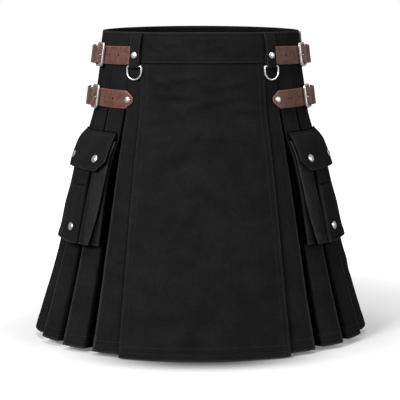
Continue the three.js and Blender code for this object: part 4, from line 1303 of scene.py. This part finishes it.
def leather_strap(strap, side):
    """A strap with its punched holes, one of which the prong goes through."""
    run, half = strap_run(strap)
    at = on_strap(strap)
    name = f"{strap['name']}_strap_{hand(side)}"
    piece = ribbon(f"{name}_leather", run, half, LEATHER, at, side=side, across=14)
    seats = [surface_axes(at, x, STRAP_NEAR) for x in HOLES_AT]
    cutters = [drill(seat, HOLE_RADIUS, HOLE_RADIUS, DRILL_REACH, side, 20) for seat in seats]
    centres = prong_centres(strap)[1]
    level = np.repeat(np.array([[0, 0, 1.0]]), len(centres), 0) * (PRONG_RADIUS + 0.5) * MM
    ahead = np.gradient(centres, axis=0)
    across = np.cross(level, ahead / np.linalg.norm(ahead, axis=1, keepdims=True))
    cutters.append(tube("drill", centres, level, across, side=side, sides=12))
    punch(piece, cutters)
    burnish_holes(piece, seats, side)
    dress(piece, "bridle_leather", name)


def chape_run():
    """The chape's middle line: out along the strap's underside, round the back bar and back."""
    turn = np.linspace(0, math.pi, 13)
    bend = [BAR_SPACING - CHAPE_BEND * np.sin(turn), FRAME_OUT - CHAPE_BEND * np.cos(turn)]
    under = np.array([[x, STRAP_NEAR] for x in (80, 79.4, 76, 71, 66, 60, 54, 48, 42, 36, 32)])
    top = FRAME_OUT + CHAPE_BEND
    over = [[x, mix(top, OVER_CHAPE, share)] for x, share in ((32.5, 0.2), (36, 0.45), (40, 0.8))]
    over += [[x, OVER_CHAPE] for x in (46, 52, 58, 64, 70, 75.4, 76)]
    return np.vstack([under, np.stack(bend, 1), over])[::-1]


def chape(strap, side):
    """The leather that holds the buckle, slotted for its prong."""
    run = chape_run()
    at = on_strap(strap)
    name = f"{strap['name']}_chape_{hand(side)}"
    half = np.full(len(run), STRAP_HEIGHT / 2 - 1)
    piece = ribbon(f"{name}_leather", run, half, LEATHER, at, side=side, across=10)
    seat = surface_axes(at, BAR_SPACING - 6, FRAME_OUT)
    punch(piece, [drill(seat, depth=DRILL_REACH + 1, side=side, sides=16, **CHAPE_SLOT)])
    dress(piece, "bridle_leather", name)


def hip_tab():
    """The tab's outline is rounded at both ends."""
    xs = np.concatenate([[0, 0.4, 1.1], np.linspace(2.2, 25.8, 12), [26.9, 27.6, 28]])
    run = np.stack([xs, np.full(len(xs), STRAP_NEAR)], 1)
    half = column(HIP_TAB_SHAPE, "x", "half", xs)
    piece = ribbon("hip_tab_left_leather", run, half, LEATHER, on_strap(HIP_TAB), across=10)
    dress(piece, "bridle_leather", "hip_tab_left")


# Metal


def rounded_path(half_x, half_y, corner, per_side=6, per_corner=8):
    """Closed rounded rectangle in a plane, with its outward directions."""
    points, directions = [], []
    signs = np.array([(1, -1), (1, 1), (-1, 1), (-1, -1)])
    centres = signs * np.array([half_x - corner, half_y - corner])
    for quarter, (centre, following) in enumerate(zip(centres, np.roll(centres, -1, 0))):
        turn = quarter * math.pi / 2
        for angle in np.linspace(turn - math.pi / 2, turn, per_corner):
            direction = np.array([math.cos(angle), math.sin(angle)])
            points.append(centre + corner * direction)
            directions.append(direction)
        start, end = points[-1], following + corner * direction
        for share in np.linspace(0, 1, per_side)[1:-1]:
            points.append(mix(start, end, share))
            directions.append(direction)
    return np.array(points), np.array(directions)


def buckle_axes(strap):
    """Centre and directions of a buckle's frame."""
    at = on_strap(strap)
    front = at(np.array([[0.0, FRAME_OUT]]), 0.0)[0]
    back = at(np.array([[BAR_SPACING, FRAME_OUT]]), 0.0)[0]
    middle = np.array([[BAR_SPACING / 2, FRAME_OUT]])
    up = at(middle, FRAME_HEIGHT / 2)[0] - at(middle, -FRAME_HEIGHT / 2)[0]
    return (front + back) / 2, *axes(back - front, up)


def buckle(strap, side):
    """A square wire frame with its prong."""
    centre, around, up, normal = buckle_axes(strap)
    path, directions = rounded_path(BAR_SPACING / 2, FRAME_HEIGHT / 2 - FRAME_WIRE, FRAME_CORNER)
    centres = centre + (path[:, :1] * around + path[:, 1:] * up) * MM
    first = (directions[:, :1] * around + directions[:, 1:] * up) * FRAME_WIRE * MM
    second = np.repeat(normal[None] * FRAME_WIRE * 0.92 * MM, len(path), 0)
    name = f"{strap['name']}_buckle_{hand(side)}"
    dress(tube(f"{name}_metal", centres, first, second, True, side, squareness=0.8), "satin_nickel", name)
    prong(strap, side)


def prong(strap, side):
    name = f"{strap['name']}_prong_{hand(side)}"
    run, centres = prong_centres(strap)
    taper = np.concatenate([[0.3, 0.7, 0.9], np.ones(len(run) - 3)])
    level = np.repeat(np.array([[0, 0, 1.0]]), len(run), 0) * PRONG_RADIUS * taper[:, None] * MM
    ahead = np.gradient(centres, axis=0)
    ahead = ahead / np.linalg.norm(ahead, axis=1, keepdims=True)
    dress(tube(f"{name}_metal", centres, level, np.cross(level, ahead), side=side), "satin_nickel", name)


def ring_path():
    """Outline of a D-ring in its plane, hanging from its bar."""
    radius = RING_WIDTH / 2 - RING_WIRE
    low = -(RING_HEIGHT - 2 * RING_WIRE - radius)
    inset = radius - RING_CORNER
    points = [[x, 0] for x in np.linspace(-inset, inset, 8)[:-1]]
    for centre, down, size, start, end, count in (
        (inset, -RING_CORNER, RING_CORNER, math.pi / 2, 0, 7),
        (0, low, radius, 0, -math.pi, 36),
        (-inset, -RING_CORNER, RING_CORNER, math.pi, math.pi / 2, 7),
    ):
        for turn in np.linspace(start, end, count):
            points.append([centre + size * math.cos(turn), down + size * math.sin(turn)])
    return np.array(points[:-1])


def d_ring(side):
    """A wire ring that hangs by its bar in the belt loop."""
    path = ring_path()
    ahead = np.roll(path, -1, 0) - np.roll(path, 1, 0)
    ahead = ahead / np.linalg.norm(ahead, axis=1, keepdims=True)
    across = np.stack([-ahead[:, 1], ahead[:, 0]], 1)
    bar = place(LOOP_ANGLE, RING_BAR_DROP, RING_BAR_OUT)
    normal = outward(LOOP_ANGLE, bar[2] / MM)
    around = np.cross([0, 0, 1], normal)
    tilt = math.radians(RING_REST_TILT)
    up = np.array([0, 0, math.cos(tilt)]) - normal * math.sin(tilt)
    face = np.cross(around, up)
    centres = bar + (path[:, :1] * around + path[:, 1:] * up) * MM
    first = (across[:, :1] * around + across[:, 1:] * up) * RING_WIRE * MM
    second = np.repeat(face[None] * RING_WIRE * MM, len(path), 0)
    name = f"d_ring_{hand(side)}"
    ring = tube(f"{name}_metal", centres, first, second, True, side)
    dress(ring, "satin_nickel", name, body=f"{hand(side)}_ring")


def dome(name, seat, side, radius, height, lip):
    """Pressed metal head: a rolled rim, and for a snap a shallow groove inside it."""
    here, around, up, normal = seat
    here = here + normal * SEAM_GAP * MM
    if lip:
        profile = [(0, 0), (0.96, 0), (1, 0.14), (0.99, 0.32), (0.93, 0.45), (0.86, 0.42), (0.8, 0.46)]
        profile += [(0.66, 0.72), (0.48, 0.88), (0.26, 0.97), (0, 1)]
    else:
        turns = np.linspace(0, math.pi / 2, 9)
        profile = [(0, 0), (0.97, 0), (1, 0.1)] + [(math.cos(t), mix(0.2, 1, math.sin(t))) for t in turns[1:]]
    count = 40
    turn = np.linspace(0, 2 * math.pi, count, endpoint=False)
    spoke = around * np.cos(turn)[:, None] + up * np.sin(turn)[:, None]
    rings = [here + (spoke * r * radius + normal * h * height) * MM for r, h in profile[1:-1]]
    points = np.vstack([np.stack(rings).reshape(-1, 3), here[None], (here + normal * height * MM)[None]])
    faces = ring_faces(len(rings), count, caps=False)
    base, top = len(points) - 2, len(points) - 1
    last = (len(rings) - 1) * count
    faces += [[base, (k + 1) % count, k] for k in range(count)]
    faces += [[top, last + k, last + (k + 1) % count] for k in range(count)]
    dress(closed_mesh(f"{name}_metal", points, faces, side, sharp=40), "satin_nickel", name)


# Belt loops


def loop_at(angle):
    """Turns points of a loop's run and distances across it into metres."""

    def at(points, across):
        centre = place(angle, -points[:, 0], points[:, 1])
        around = np.cross([0, 0, 1], outward(angle, centre[:, 2] / MM))
        return centre + around * np.reshape(across, (-1, 1)) * MM

    return at


def front_loop_run():
    corners = [(row["drop"], mix(LOOP_NEAR, LOOP_FAR, row["rise"])) for row in FRONT_LOOP_RISE]
    for turn in np.linspace(0, math.pi, 13):
        down, out = LOOP_FOLD * math.sin(turn), LOOP_FOLD * math.cos(turn)
        corners.append((RING_BAR_DROP + down, RING_BAR_OUT + out))
    corners += [(54, LOOP_NEAR), (42, LOOP_NEAR)]
    return densified(np.array([(-drop, out) for drop, out in corners]), 0.8)


def back_loop_run():
    points = [(-row["drop"], LOOP_NEAR + LOOP_STAND_OFF * row["rise"]) for row in BACK_LOOP_RISE]
    return densified(np.array(points), 2.5)


def densified(run, step):
    """A smooth run through the points, with one about every step."""
    length = along_run(run)
    wanted = np.linspace(0, length[-1], max(8, int(length[-1] / step)))
    table = [dict(s=s, x=x, y=y) for s, (x, y) in zip(length, run)]
    return np.stack([column(table, "s", "x", wanted), column(table, "s", "y", wanted)], 1)


def belt_loop(name, angle, run, half, side):
    """Builds a loop of folded cloth along its run, worn at its edges."""
    name = f"{name}_{hand(side)}"
    length = along_run(run)
    piece = ribbon(f"{name}_cloth", run, half, LOOP_CLOTH, loop_at(angle), corner=0.5, side=side)
    wear_and_highlight = piece.data.attributes.new("wear_and_highlight", "FLOAT", "POINT")
    edge = np.zeros(len(piece.data.vertices), np.float32)
    piece.data.attributes["edge"].data.foreach_get("value", edge)
    wear_and_highlight.data.foreach_set("value", edge * 0.8)
    dress(piece, "black_twill", name)


def front_belt_loop(side):
    """The loop that holds a ring, riveted above it."""
    run = front_loop_run()
    share = along_run(run) / along_run(run)[-1]
    half = mix(LOOP_WIDTH["top"], LOOP_WIDTH["bottom"], np.minimum(1, share / LOOP_TAPER)) / 2
    belt_loop("front_belt_loop", LOOP_ANGLE, run, half, side)
    here, above = (place(LOOP_ANGLE, LOOP_RIVET_DROP - up, LOOP_FAR + LOOP_CLOTH / 2) for up in (0, 2))
    around = np.cross([0, 0, 1], outward(LOOP_ANGLE, here[2] / MM))
    up = (above - here) / np.linalg.norm(above - here)
    dome(f"loop_rivet_{hand(side)}", (here, around, up, np.cross(around, up)), side, **RIVET)


# Pockets


def pocket_point(x, drop, out):
    """Points in metres at a distance from the pocket's middle line. All three have the same shape."""
    share = (drop - POCKET_AXIS["top_drop"]) / (POCKET_AXIS["bottom_drop"] - POCKET_AXIS["top_drop"])
    axis = mix(POCKET_AXIS["top_angle"], POCKET_AXIS["bottom_angle"], share)
    x, drop, out, axis = np.broadcast_arrays(x, drop, out, axis)
    angle = np.empty(x.shape)
    for level in np.unique(drop):
        row = drop == level
        angle[row] = angle_at(level, arc_at(level, axis[row]) + x[row])
    return place(angle, drop, out)


def pocket_shape(name, drop):
    return column(POCKET_SHAPE, "drop", name, drop)


def pocket_depth(x, drop):
    share = np.clip((x + POCKET_HALF) / (2 * POCKET_HALF), 0, 1)
    return mix(pocket_shape("front", drop), pocket_shape("back", drop), share)


def strip_edge(drop):
    """The panel's edge, the groove and the strip's edge, from the outside in."""
    strip, groove = float(pocket_shape("strip", drop)), float(pocket_shape("groove", drop))
    return [(groove, 19.5), (mix(groove, strip, 0.45), 12), (strip, 22.5), (strip - 3, 24)]


def pocket_corners(drop, wanted=range(10)):
    """The wanted corners of the pocket's outline at a drop, from front to back."""
    fold = max(0.0, float(pocket_shape("front", drop)) * 2 - 1)
    tuck = float(pocket_shape("tuck", drop))
    front = [(tuck * row["tucked"] - mix(row["x"], row["folded"], fold), row["out"]) for row in POCKET_SECTION]
    front += [(-x, out) for x, out in strip_edge(drop)]
    back = [(row["x"], row["out"]) for row in POCKET_SECTION] + strip_edge(drop)
    front, back = [front[i] for i in wanted], [back[i] for i in reversed(wanted)]
    corners = [*front, (0, STRIP_OUT), *back]
    return [np.array([x, POCKET_SEAT + out * float(pocket_depth(x, drop))]) for x, out in corners]


def pocket_fill():
    """How many points lie between the corners of the pocket's run."""
    half = [row["fill"] for row in POCKET_SECTION[1:]] + list(STRIP_EDGE_FILL) + [MIDDLE_FILL]
    return half + half[::-1]


def pocket_relief(x, drop):
    """How far the turned edges, the strip's seam and puffed lower part, and soft creases stand out."""
    strip_half = pocket_shape("strip", drop)
    strip = 1 - smooth((np.abs(x) - strip_half + 3) / 3)
    panel = smooth((np.abs(x) - pocket_shape("groove", drop) - 1) / 4)
    lower = np.clip((drop - STRIP_SEAM) / (POCKET_BOTTOM - 6 - STRIP_SEAM), 0, 1)
    nip = 1.6 * np.exp(-(((drop - STRIP_SEAM + 1) / 1.8) ** 2))
    ledge = strip * (2 * smooth((drop - STRIP_SEAM) / 3) - nip)
    puff = strip * 1.4 * np.sin(lower * math.pi) ** 0.8
    box = -0.7 * strip * np.exp(-(((drop - POCKET_BOTTOM + 21) / 1.8) ** 2))
    hem = 0.6 * panel * smooth((drop - (POCKET_BOTTOM - 14)) / 2)
    slack = 0.8 * np.sin(x / 11 + drop / 29) * np.sin(drop / 23 + x / 37) + 0.5 * np.sin(drop / 14 - x / 19)
    return ledge + puff + box + hem + slack * smooth((POCKET_BOTTOM - drop) / 20)


def pocket_fading(x, share, drop):
    """Painted shade, and how worn points of the pocket are with a painted highlight on the bellows ridge, at x
    and at a share of its depth.
    """
    strip_half, groove = float(pocket_shape("strip", drop)), float(pocket_shape("groove", drop))
    beside_strip = (np.abs(x) - mix(groove, strip_half, 0.45)) / (0.45 * (groove - strip_half))
    on_bellows = np.abs(x) > 36
    # painted shade inside the bellows folds
    bellows_shade = np.maximum(1 - smooth((share - 0.26) / 0.08), np.exp(-(((share - 0.54) / 0.11) ** 4)))
    bellows_shade = bellows_shade * on_bellows * np.where(x < 0, 1, 0.8)
    seam_shade = 0.6 * (np.abs(x) < strip_half) * math.exp(-(((drop - STRIP_SEAM + 1) / 1.5) ** 2))
    # painted shade in the groove beside the strip, in the bellows folds and along the strip's seam
    painted_dark = np.clip(np.maximum(np.maximum(np.exp(-(beside_strip ** 4)), bellows_shade), seam_shade), 0, 1)
    rims = np.abs(np.abs(x)[:, None] - np.array([groove + 1, strip_half - 1.5])).min(1)
    # worn turned edge, and a painted highlight along the bellows ridge
    turned = np.exp(-(((share - 0.74) / 0.06) ** 2)) + 0.5 * np.exp(-(((share - 0.38) / 0.03) ** 2))
    edge = np.maximum(np.exp(-((rims / 1.6) ** 2)) * 0.25, turned * on_bellows)
    hem = max(0, 1 - (POCKET_BOTTOM - drop) / 3)
    return painted_dark, np.maximum(edge, hem) * (1 - painted_dark)


def pocket_body(side):
    """Builds a pocket: one tube of cloth, folded in at its sides, and its bottom."""
    drops = np.linspace(POCKET_TOP, POCKET_BOTTOM, 120)
    outside, inside, uv, worn, painted_dark = [], [], [], [], []
    for drop in drops:
        corners = pocket_corners(drop)
        run = rounded_run(corners, [0.9] * len(corners), 3, pocket_fill())
        x, out = run[:, 0].copy(), run[:, 1].copy()
        share = out / (STRIP_OUT * pocket_depth(x, drop))
        run[:, 1] += pocket_relief(x, drop) * np.clip(run[:, 1] / 10, 0, 1)
        outer, inner = offset_run(run, CLOTH / 2), offset_run(run, -CLOTH / 2)
        outside.append(pocket_point(outer[:, 0], np.full(len(run), drop), outer[:, 1]))
        inside.append(pocket_point(inner[:, 0], np.full(len(run), drop), inner[:, 1]))
        uv.append(np.stack([along_run(run), np.full(len(run), -drop)], 1) * MM)
        # painted shade in the folds, and worn edges with a painted highlight
        pocket_shade, rub_and_highlight = pocket_fading(x, share, drop)
        painted_dark.append(pocket_shade)
        worn.append(rub_and_highlight)
    name = f"pocket_{hand(side)}"
    uv = np.stack(uv)
    fields = {"wear_and_highlight": np.stack(worn), "recess": np.stack(painted_dark)}
    piece = wall(f"{name}_cloth", np.stack(outside), np.stack(inside), uv, fields, side)
    dress(piece, "black_twill", name)
    pocket_floor(name, side)


def pocket_floor(name, side):
    """The pocket's bottom: its corners, pulled in a little, filled from front to back."""
    rings = []
    for drop in (POCKET_BOTTOM - CLOTH, POCKET_BOTTOM - FLOOR_INSET):
        corners = np.array(pocket_corners(drop, FLOOR_POINTS)) + np.array([0, FLOOR_INSET])
        halves = [mix(a, b, share) for a, b in zip(corners[:-1], corners[1:]) for share in (0, 0.5)]
        run = np.vstack([*halves, corners[-1]])
        back = np.stack([run[::-1, 0], np.full(len(run), POCKET_SEAT)], 1)
        ring = np.vstack([run, back])
        rings.append(pocket_point(ring[:, 0], np.full(len(ring), drop), ring[:, 1]))
    columns = rings[0].shape[0] // 2
    outside = np.stack([ring[:columns] for ring in rings])
    inside = np.stack([ring[columns:][::-1] for ring in rings])
    flat = np.stack([np.stack([np.arange(columns) * 5.0, np.full(columns, drop)], 1) for drop in (0, 1)]) * MM
    # painted shade on the pocket's bottom
    fields = {"recess": np.full(outside.shape[:2], 0.7)}
    piece = wall(f"{name}_floor", outside, inside, flat, fields, side=side)
    dress(piece, "black_twill")


def flap_out(x, drop):
    out = column(FLAP_SECTION, "drop", "out", drop)
    share = mix(1, FLAP_BACK_SHARE, np.clip((x + FLAP_HALF) / (2 * FLAP_HALF), 0, 1))
    return np.maximum(POCKET_SEAT, out * share)


def flap_half(drop):
    """Half the flap's width, with its clipped corners."""
    clipped = np.maximum(0, drop - (FLAP_BOTTOM - FLAP_CLIP)) * CLIP_SLOPE
    return column(FLAP_SECTION, "drop", "half", drop) - clipped


def flap_face(x, drop):
    """Distance out of the flap's face, with its turned edge and a soft dip between the snaps."""
    inset = np.minimum(flap_half(drop) - np.abs(x), FLAP_BOTTOM - drop)
    edge = 0.4 * (1 - smooth((inset - 6) / 2)) - 0.4 * np.exp(-(((inset - 7) / 1.2) ** 2))
    dip = -1.4 * np.exp(-((x / 24) ** 2)) * smooth((drop - 215) / 30)
    drag = 0.6 * np.sin((x + drop) / 13) * np.sin((drop - 190) / 24)
    return flap_out(x, drop) + FLAP_CLOTH + (edge + dip + drag) * smooth((drop - FLAP_TOP) / 10)


def flap(side):
    """Builds a flap of doubled cloth. Its rows of stitches are returned."""
    curved = np.linspace(FLAP_TOP, FLAP_TURNED_UNTIL, 9)[:-1]
    drops = np.concatenate([curved, np.linspace(FLAP_TURNED_UNTIL, FLAP_BOTTOM, 36)])
    drop = np.repeat(drops[:, None], 70, 1)
    x = flap_half(drop) * np.linspace(-1, 1, 70)[None, :]
    lift = FLAP_CLOTH * 0.5 * (1 - smooth((drop - FLAP_TURNED_UNTIL + 8) / 8))
    outside = pocket_point(x, drop - lift, flap_face(x, drop))
    inside = pocket_point(x, drop, flap_out(x, drop))
    inset = np.minimum(flap_half(drop) - np.abs(x), FLAP_BOTTOM - drop)
    wear_and_highlight = np.clip(1 - inset / 2, 0, 1) * smooth((drop - FLAP_TOP) / 10)
    # painted shadow line along the flap's top edge
    recess = np.exp(-(((drop - FLAP_TOP) / 2) ** 2))
    uv = np.stack([x, -drop * 1.3], -1) * MM
    name = f"pocket_flap_{hand(side)}"
    piece = wall(f"{name}_cloth", outside, inside, uv, {"wear_and_highlight": wear_and_highlight, "recess": recess}, side)
    dress(piece, "black_twill", name)
    return mirror_rows(flap_stitches(), side)


def flap_stitches():
    inset = FLAP_EDGE_STITCHES
    levels = np.linspace(FLAP_TOP + 8, FLAP_BOTTOM - FLAP_CLIP - 2, 8)
    sides = [(-float(flap_half(drop)) + inset, drop) for drop in levels]
    path = [*sides, (-float(flap_half(FLAP_BOTTOM)) + 3, FLAP_BOTTOM - inset)]
    path += [(-x, drop) for x, drop in reversed(path)]
    path = np.array(path)
    length = along_run(path)
    wanted = np.linspace(0, length[-1], int(length[-1] / 2.5))
    border = [np.interp(wanted, length, path[:, i]) for i in (0, 1)]
    top = [np.linspace(-FLAP_HALF + 6, FLAP_HALF - 6, 60), np.full(60, float(FLAP_TOP_STITCHES))]
    return [pocket_point(x, drop, flap_face(x, drop) + STITCH_LIFT) for x, drop in (border, top)]


def pocket_surface(x, drop):
    """Distance out of the pocket's face at x on its panels or its strip."""
    outs = []
    for at, level in zip(x, drop):
        corners = np.array(pocket_corners(level)[3:-3])
        outs.append(np.interp(at, corners[:, 0], corners[:, 1]))
    out = np.array(outs)
    return out + pocket_relief(x, drop) * np.clip(out / 10, 0, 1) + CLOTH / 2


def pocket_stitches():
    """Rows down both panels, along their hems and across the strip."""
    drops = np.linspace(268, POCKET_BOTTOM - 4, 60)
    tuck, groove = pocket_shape("tuck", drops), pocket_shape("groove", drops)
    rows = [(x, drops) for x in (1.1 * tuck - 57, -groove - 4, groove + 4, 0 * drops + 59)]
    for low, high in ((-40, -30), (-14, 14), (30, 61)):
        rows.append((np.linspace(low, high, 30), np.full(30, POCKET_BOTTOM - 12.0)))
    for level in (STRIP_SEAM - 4, STRIP_SEAM + 5, POCKET_BOTTOM - 21):
        rows.append((np.linspace(-14, 14, 20), np.full(20, float(level))))
    return [pocket_point(x, drop, pocket_surface(x, drop) + STITCH_LIFT) for x, drop in rows]


def pocket_seat(face, x, drop):
    """Seat of a snap on a face of the pocket: its point and its directions."""

    def point(dx, down):
        at, level = np.array([x + dx]), np.array([drop + down])
        return pocket_point(at, level, face(at, level))[0]

    return point(0, 0), *axes(point(2, 0) - point(-2, 0), point(0, -2) - point(0, 2))


def plain_flap_out(x, drop):
    """Distance out of the flap's face without its creases."""
    return flap_out(x, drop) + FLAP_CLOTH


# Operators


class KiltOperator(bpy.types.Operator):
    """Builds pieces of the kilt"""

    bl_options = {"REGISTER", "UNDO"}

    def execute(self, context):
        self.build()
        return {"FINISHED"}


class KILT_OT_camera(KiltOperator):
    """Points the camera at the kilt's front, a little from above"""

    bl_idname = "kilt.camera"
    bl_label = "Camera"

    def build(self):
        data = bpy.data.cameras.new("camera")
        data.sensor_width = SENSOR_WIDTH
        data.lens = FOCAL_PIXELS / PHOTO_WIDTH * SENSOR_WIDTH
        camera = bpy.data.objects.new("camera", data)
        turn = math.radians(CAMERA_TURN)
        camera.location = (
            CAMERA_SHIFT * math.cos(turn) - CAMERA_DISTANCE * math.sin(turn),
            -CAMERA_SHIFT * math.sin(turn) - CAMERA_DISTANCE * math.cos(turn),
            0,
        )
        camera.rotation_euler = (math.radians(90 - CAMERA_DOWN), 0, -turn)
        bpy.context.scene.collection.objects.link(camera)
        bpy.context.scene.camera = camera


class KILT_OT_stage(KiltOperator):
    """Pale floor, even white room and soft lamps"""

    bl_idname = "kilt.stage"
    bl_label = "Stage"

    def build(self):
        bpy.context.scene.view_settings.view_transform = "Standard"
        low = CAD_BOX[0].z - FLOOR_BELOW_HEM
        signs = ((-1, -1), (1, -1), (1, 1), (-1, 1))
        corners = [(FLOOR_REACH * x, FLOOR_REACH * y, low) for x, y in signs]
        floor = make_mesh("floor", corners, [[0, 1, 2, 3]])
        floor.data.materials.append(material("pale_floor"))
        floor.visible_diffuse = floor.visible_glossy = False
        floor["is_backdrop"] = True
        world = bpy.data.worlds.new("room")
        world.use_nodes = True
        bpy.context.scene.world = world
        background = world.node_tree.nodes["Background"]
        background.inputs["Color"].default_value = grey(1)
        seen = node(world.node_tree, "ShaderNodeLightPath").outputs["Is Camera Ray"]
        strength = spread(world.node_tree, seen, ROOM_LIGHT, 1.0)
        world.node_tree.links.new(strength, background.inputs["Strength"])
        for row in LAMPS:
            self.lamp(**row)

    def lamp(self, name, at, size, watts):
        data = bpy.data.lights.new(name, "AREA")
        data.shape = "DISK"
        data.size = size
        data.energy = watts
        lamp = bpy.data.objects.new(name, data)
        lamp.location = at
        lamp.rotation_euler = (Vector(LAMPS_AIM_AT) - Vector(at)).to_track_quat("-Z", "Y").to_euler()
        bpy.context.scene.collection.objects.link(lamp)


class KILT_OT_waistband(KiltOperator):
    """Front and back waistband, with their stitching"""

    bl_idname = "kilt.waistband"
    bl_label = "Waistband"

    def build(self):
        seam, gap = BAND_SEAM_ANGLE, HALF_GAP_ANGLE
        rows = waistband("waistband_front", gap - seam, seam - gap, 110)
        rows += waistband("waistband_back", seam + gap, 360 - seam - gap, 260)
        stitches("waistband_stitching", rows)


class KILT_OT_aprons(KiltOperator):
    """Front apron and the apron under it"""

    bl_idname = "kilt.aprons"
    bl_label = "Aprons"

    def build(self):
        under_apron()
        front_apron()


class KILT_OT_pleats(KiltOperator):
    """Knife pleats in three panels on each side, with their hem stitching"""

    bl_idname = "kilt.pleats"
    bl_label = "Pleats"

    def build(self):
        for side in (1, -1):
            rows = []
            for panel in PANELS:
                rows += pleated_panel(panel, side)
            stitches(f"pleat_hem_stitching_{hand(side)}", rows)


class KILT_OT_belt_loops(KiltOperator):
    """Belt loops, with the rivet of each front one"""

    bl_idname = "kilt.belt_loops"
    bl_label = "Belt loops"

    def build(self):
        for side in (1, -1):
            front_belt_loop(side)
            run = back_loop_run()
            belt_loop("back_belt_loop", BACK_LOOP_ANGLE, run, np.full(len(run), BACK_LOOP_WIDTH / 2), side)


class KILT_OT_rings(KiltOperator):
    """D-rings that hang on the front belt loops"""

    bl_idname = "kilt.rings"
    bl_label = "Rings"

    def build(self):
        for side in (1, -1):
            d_ring(side)


class KILT_OT_straps(KiltOperator):
    """Leather straps with their chapes, buckles and rivets"""

    bl_idname = "kilt.straps"
    bl_label = "Straps"

    def build(self):
        for strap in STRAPS:
            at = on_strap(strap)
            for side in (1, -1):
                leather_strap(strap, side)
                chape(strap, side)
                buckle(strap, side)
                seat = surface_axes(at, CHAPE_RIVET_AT, OVER_CHAPE + LEATHER / 2)
                dome(f"{strap['name']}_chape_rivet_{hand(side)}", seat, side, **RIVET)
                if strap["pointed"]:
                    seat = surface_axes(at, strap_start(strap) + TIP_RIVET_AT, STRAP_NEAR + LEATHER / 2)
                    dome(f"strap_tip_rivet_{hand(side)}", seat, side, **RIVET)


class KILT_OT_hip_tab(KiltOperator):
    """Leather tab on the wearer's left hip"""

    bl_idname = "kilt.hip_tab"
    bl_label = "Hip tab"

    def build(self):
        hip_tab()


class KILT_OT_pockets(KiltOperator):
    """Cargo pockets with their flaps, snaps and stitching"""

    bl_idname = "kilt.pockets"
    bl_label = "Pockets"

    def build(self):
        for side in (1, -1):
            pocket_body(side)
            rows = flap(side) + mirror_rows(pocket_stitches(), side)
            stitches(f"pocket_stitching_{hand(side)}", rows)
            for name, x in (("flap_snap_front", -SNAP_SPACING / 2), ("flap_snap_back", SNAP_SPACING / 2)):
                dome(f"{name}_{hand(side)}", pocket_seat(plain_flap_out, x, FLAP_SNAP_DROP), side, **SNAP)
            seat = pocket_seat(pocket_surface, STRIP_SNAP_X, STRIP_SNAP_DROP)
            dome(f"strip_snap_{hand(side)}", seat, side, **SNAP)


STEPS = (
    KILT_OT_camera, KILT_OT_stage, KILT_OT_waistband, KILT_OT_aprons, KILT_OT_pleats,
    KILT_OT_belt_loops, KILT_OT_rings, KILT_OT_straps, KILT_OT_hip_tab, KILT_OT_pockets,
)


class KILT_PT_panel(bpy.types.Panel):
    """Lists the kilt's steps, sizes and colours"""

    bl_idname = "KILT_PT_panel"
    bl_label = "Kilt"
    bl_space_type = "VIEW_3D"
    bl_region_type = "UI"
    bl_category = "Kilt"

    def draw(self, context):
        for step in STEPS:
            self.layout.operator(step.bl_idname)
        for group in (context.scene.kilt_sizes, context.scene.kilt_colours):
            for name in group.__annotations__:
                self.layout.prop(group, name)


CLASSES = (KiltSizes, KiltColours, *STEPS, KILT_PT_panel)


def register():
    for item in CLASSES:
        bpy.utils.register_class(item)
    bpy.types.Scene.kilt_sizes = bpy.props.PointerProperty(type=KiltSizes)
    bpy.types.Scene.kilt_colours = bpy.props.PointerProperty(type=KiltColours)


def unregister():
    del bpy.types.Scene.kilt_colours
    del bpy.types.Scene.kilt_sizes
    for item in reversed(CLASSES):
        bpy.utils.unregister_class(item)


def main():
    register()
    for step in STEPS:
        group, name = step.bl_idname.split(".")
        getattr(getattr(bpy.ops, group), name)()
    boxes = {"cad": CAD_BOX, "visual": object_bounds()}
    {name: [list(corner) for corner in box] for name, box in boxes.items()}


if __name__ == "__main__":
    main()
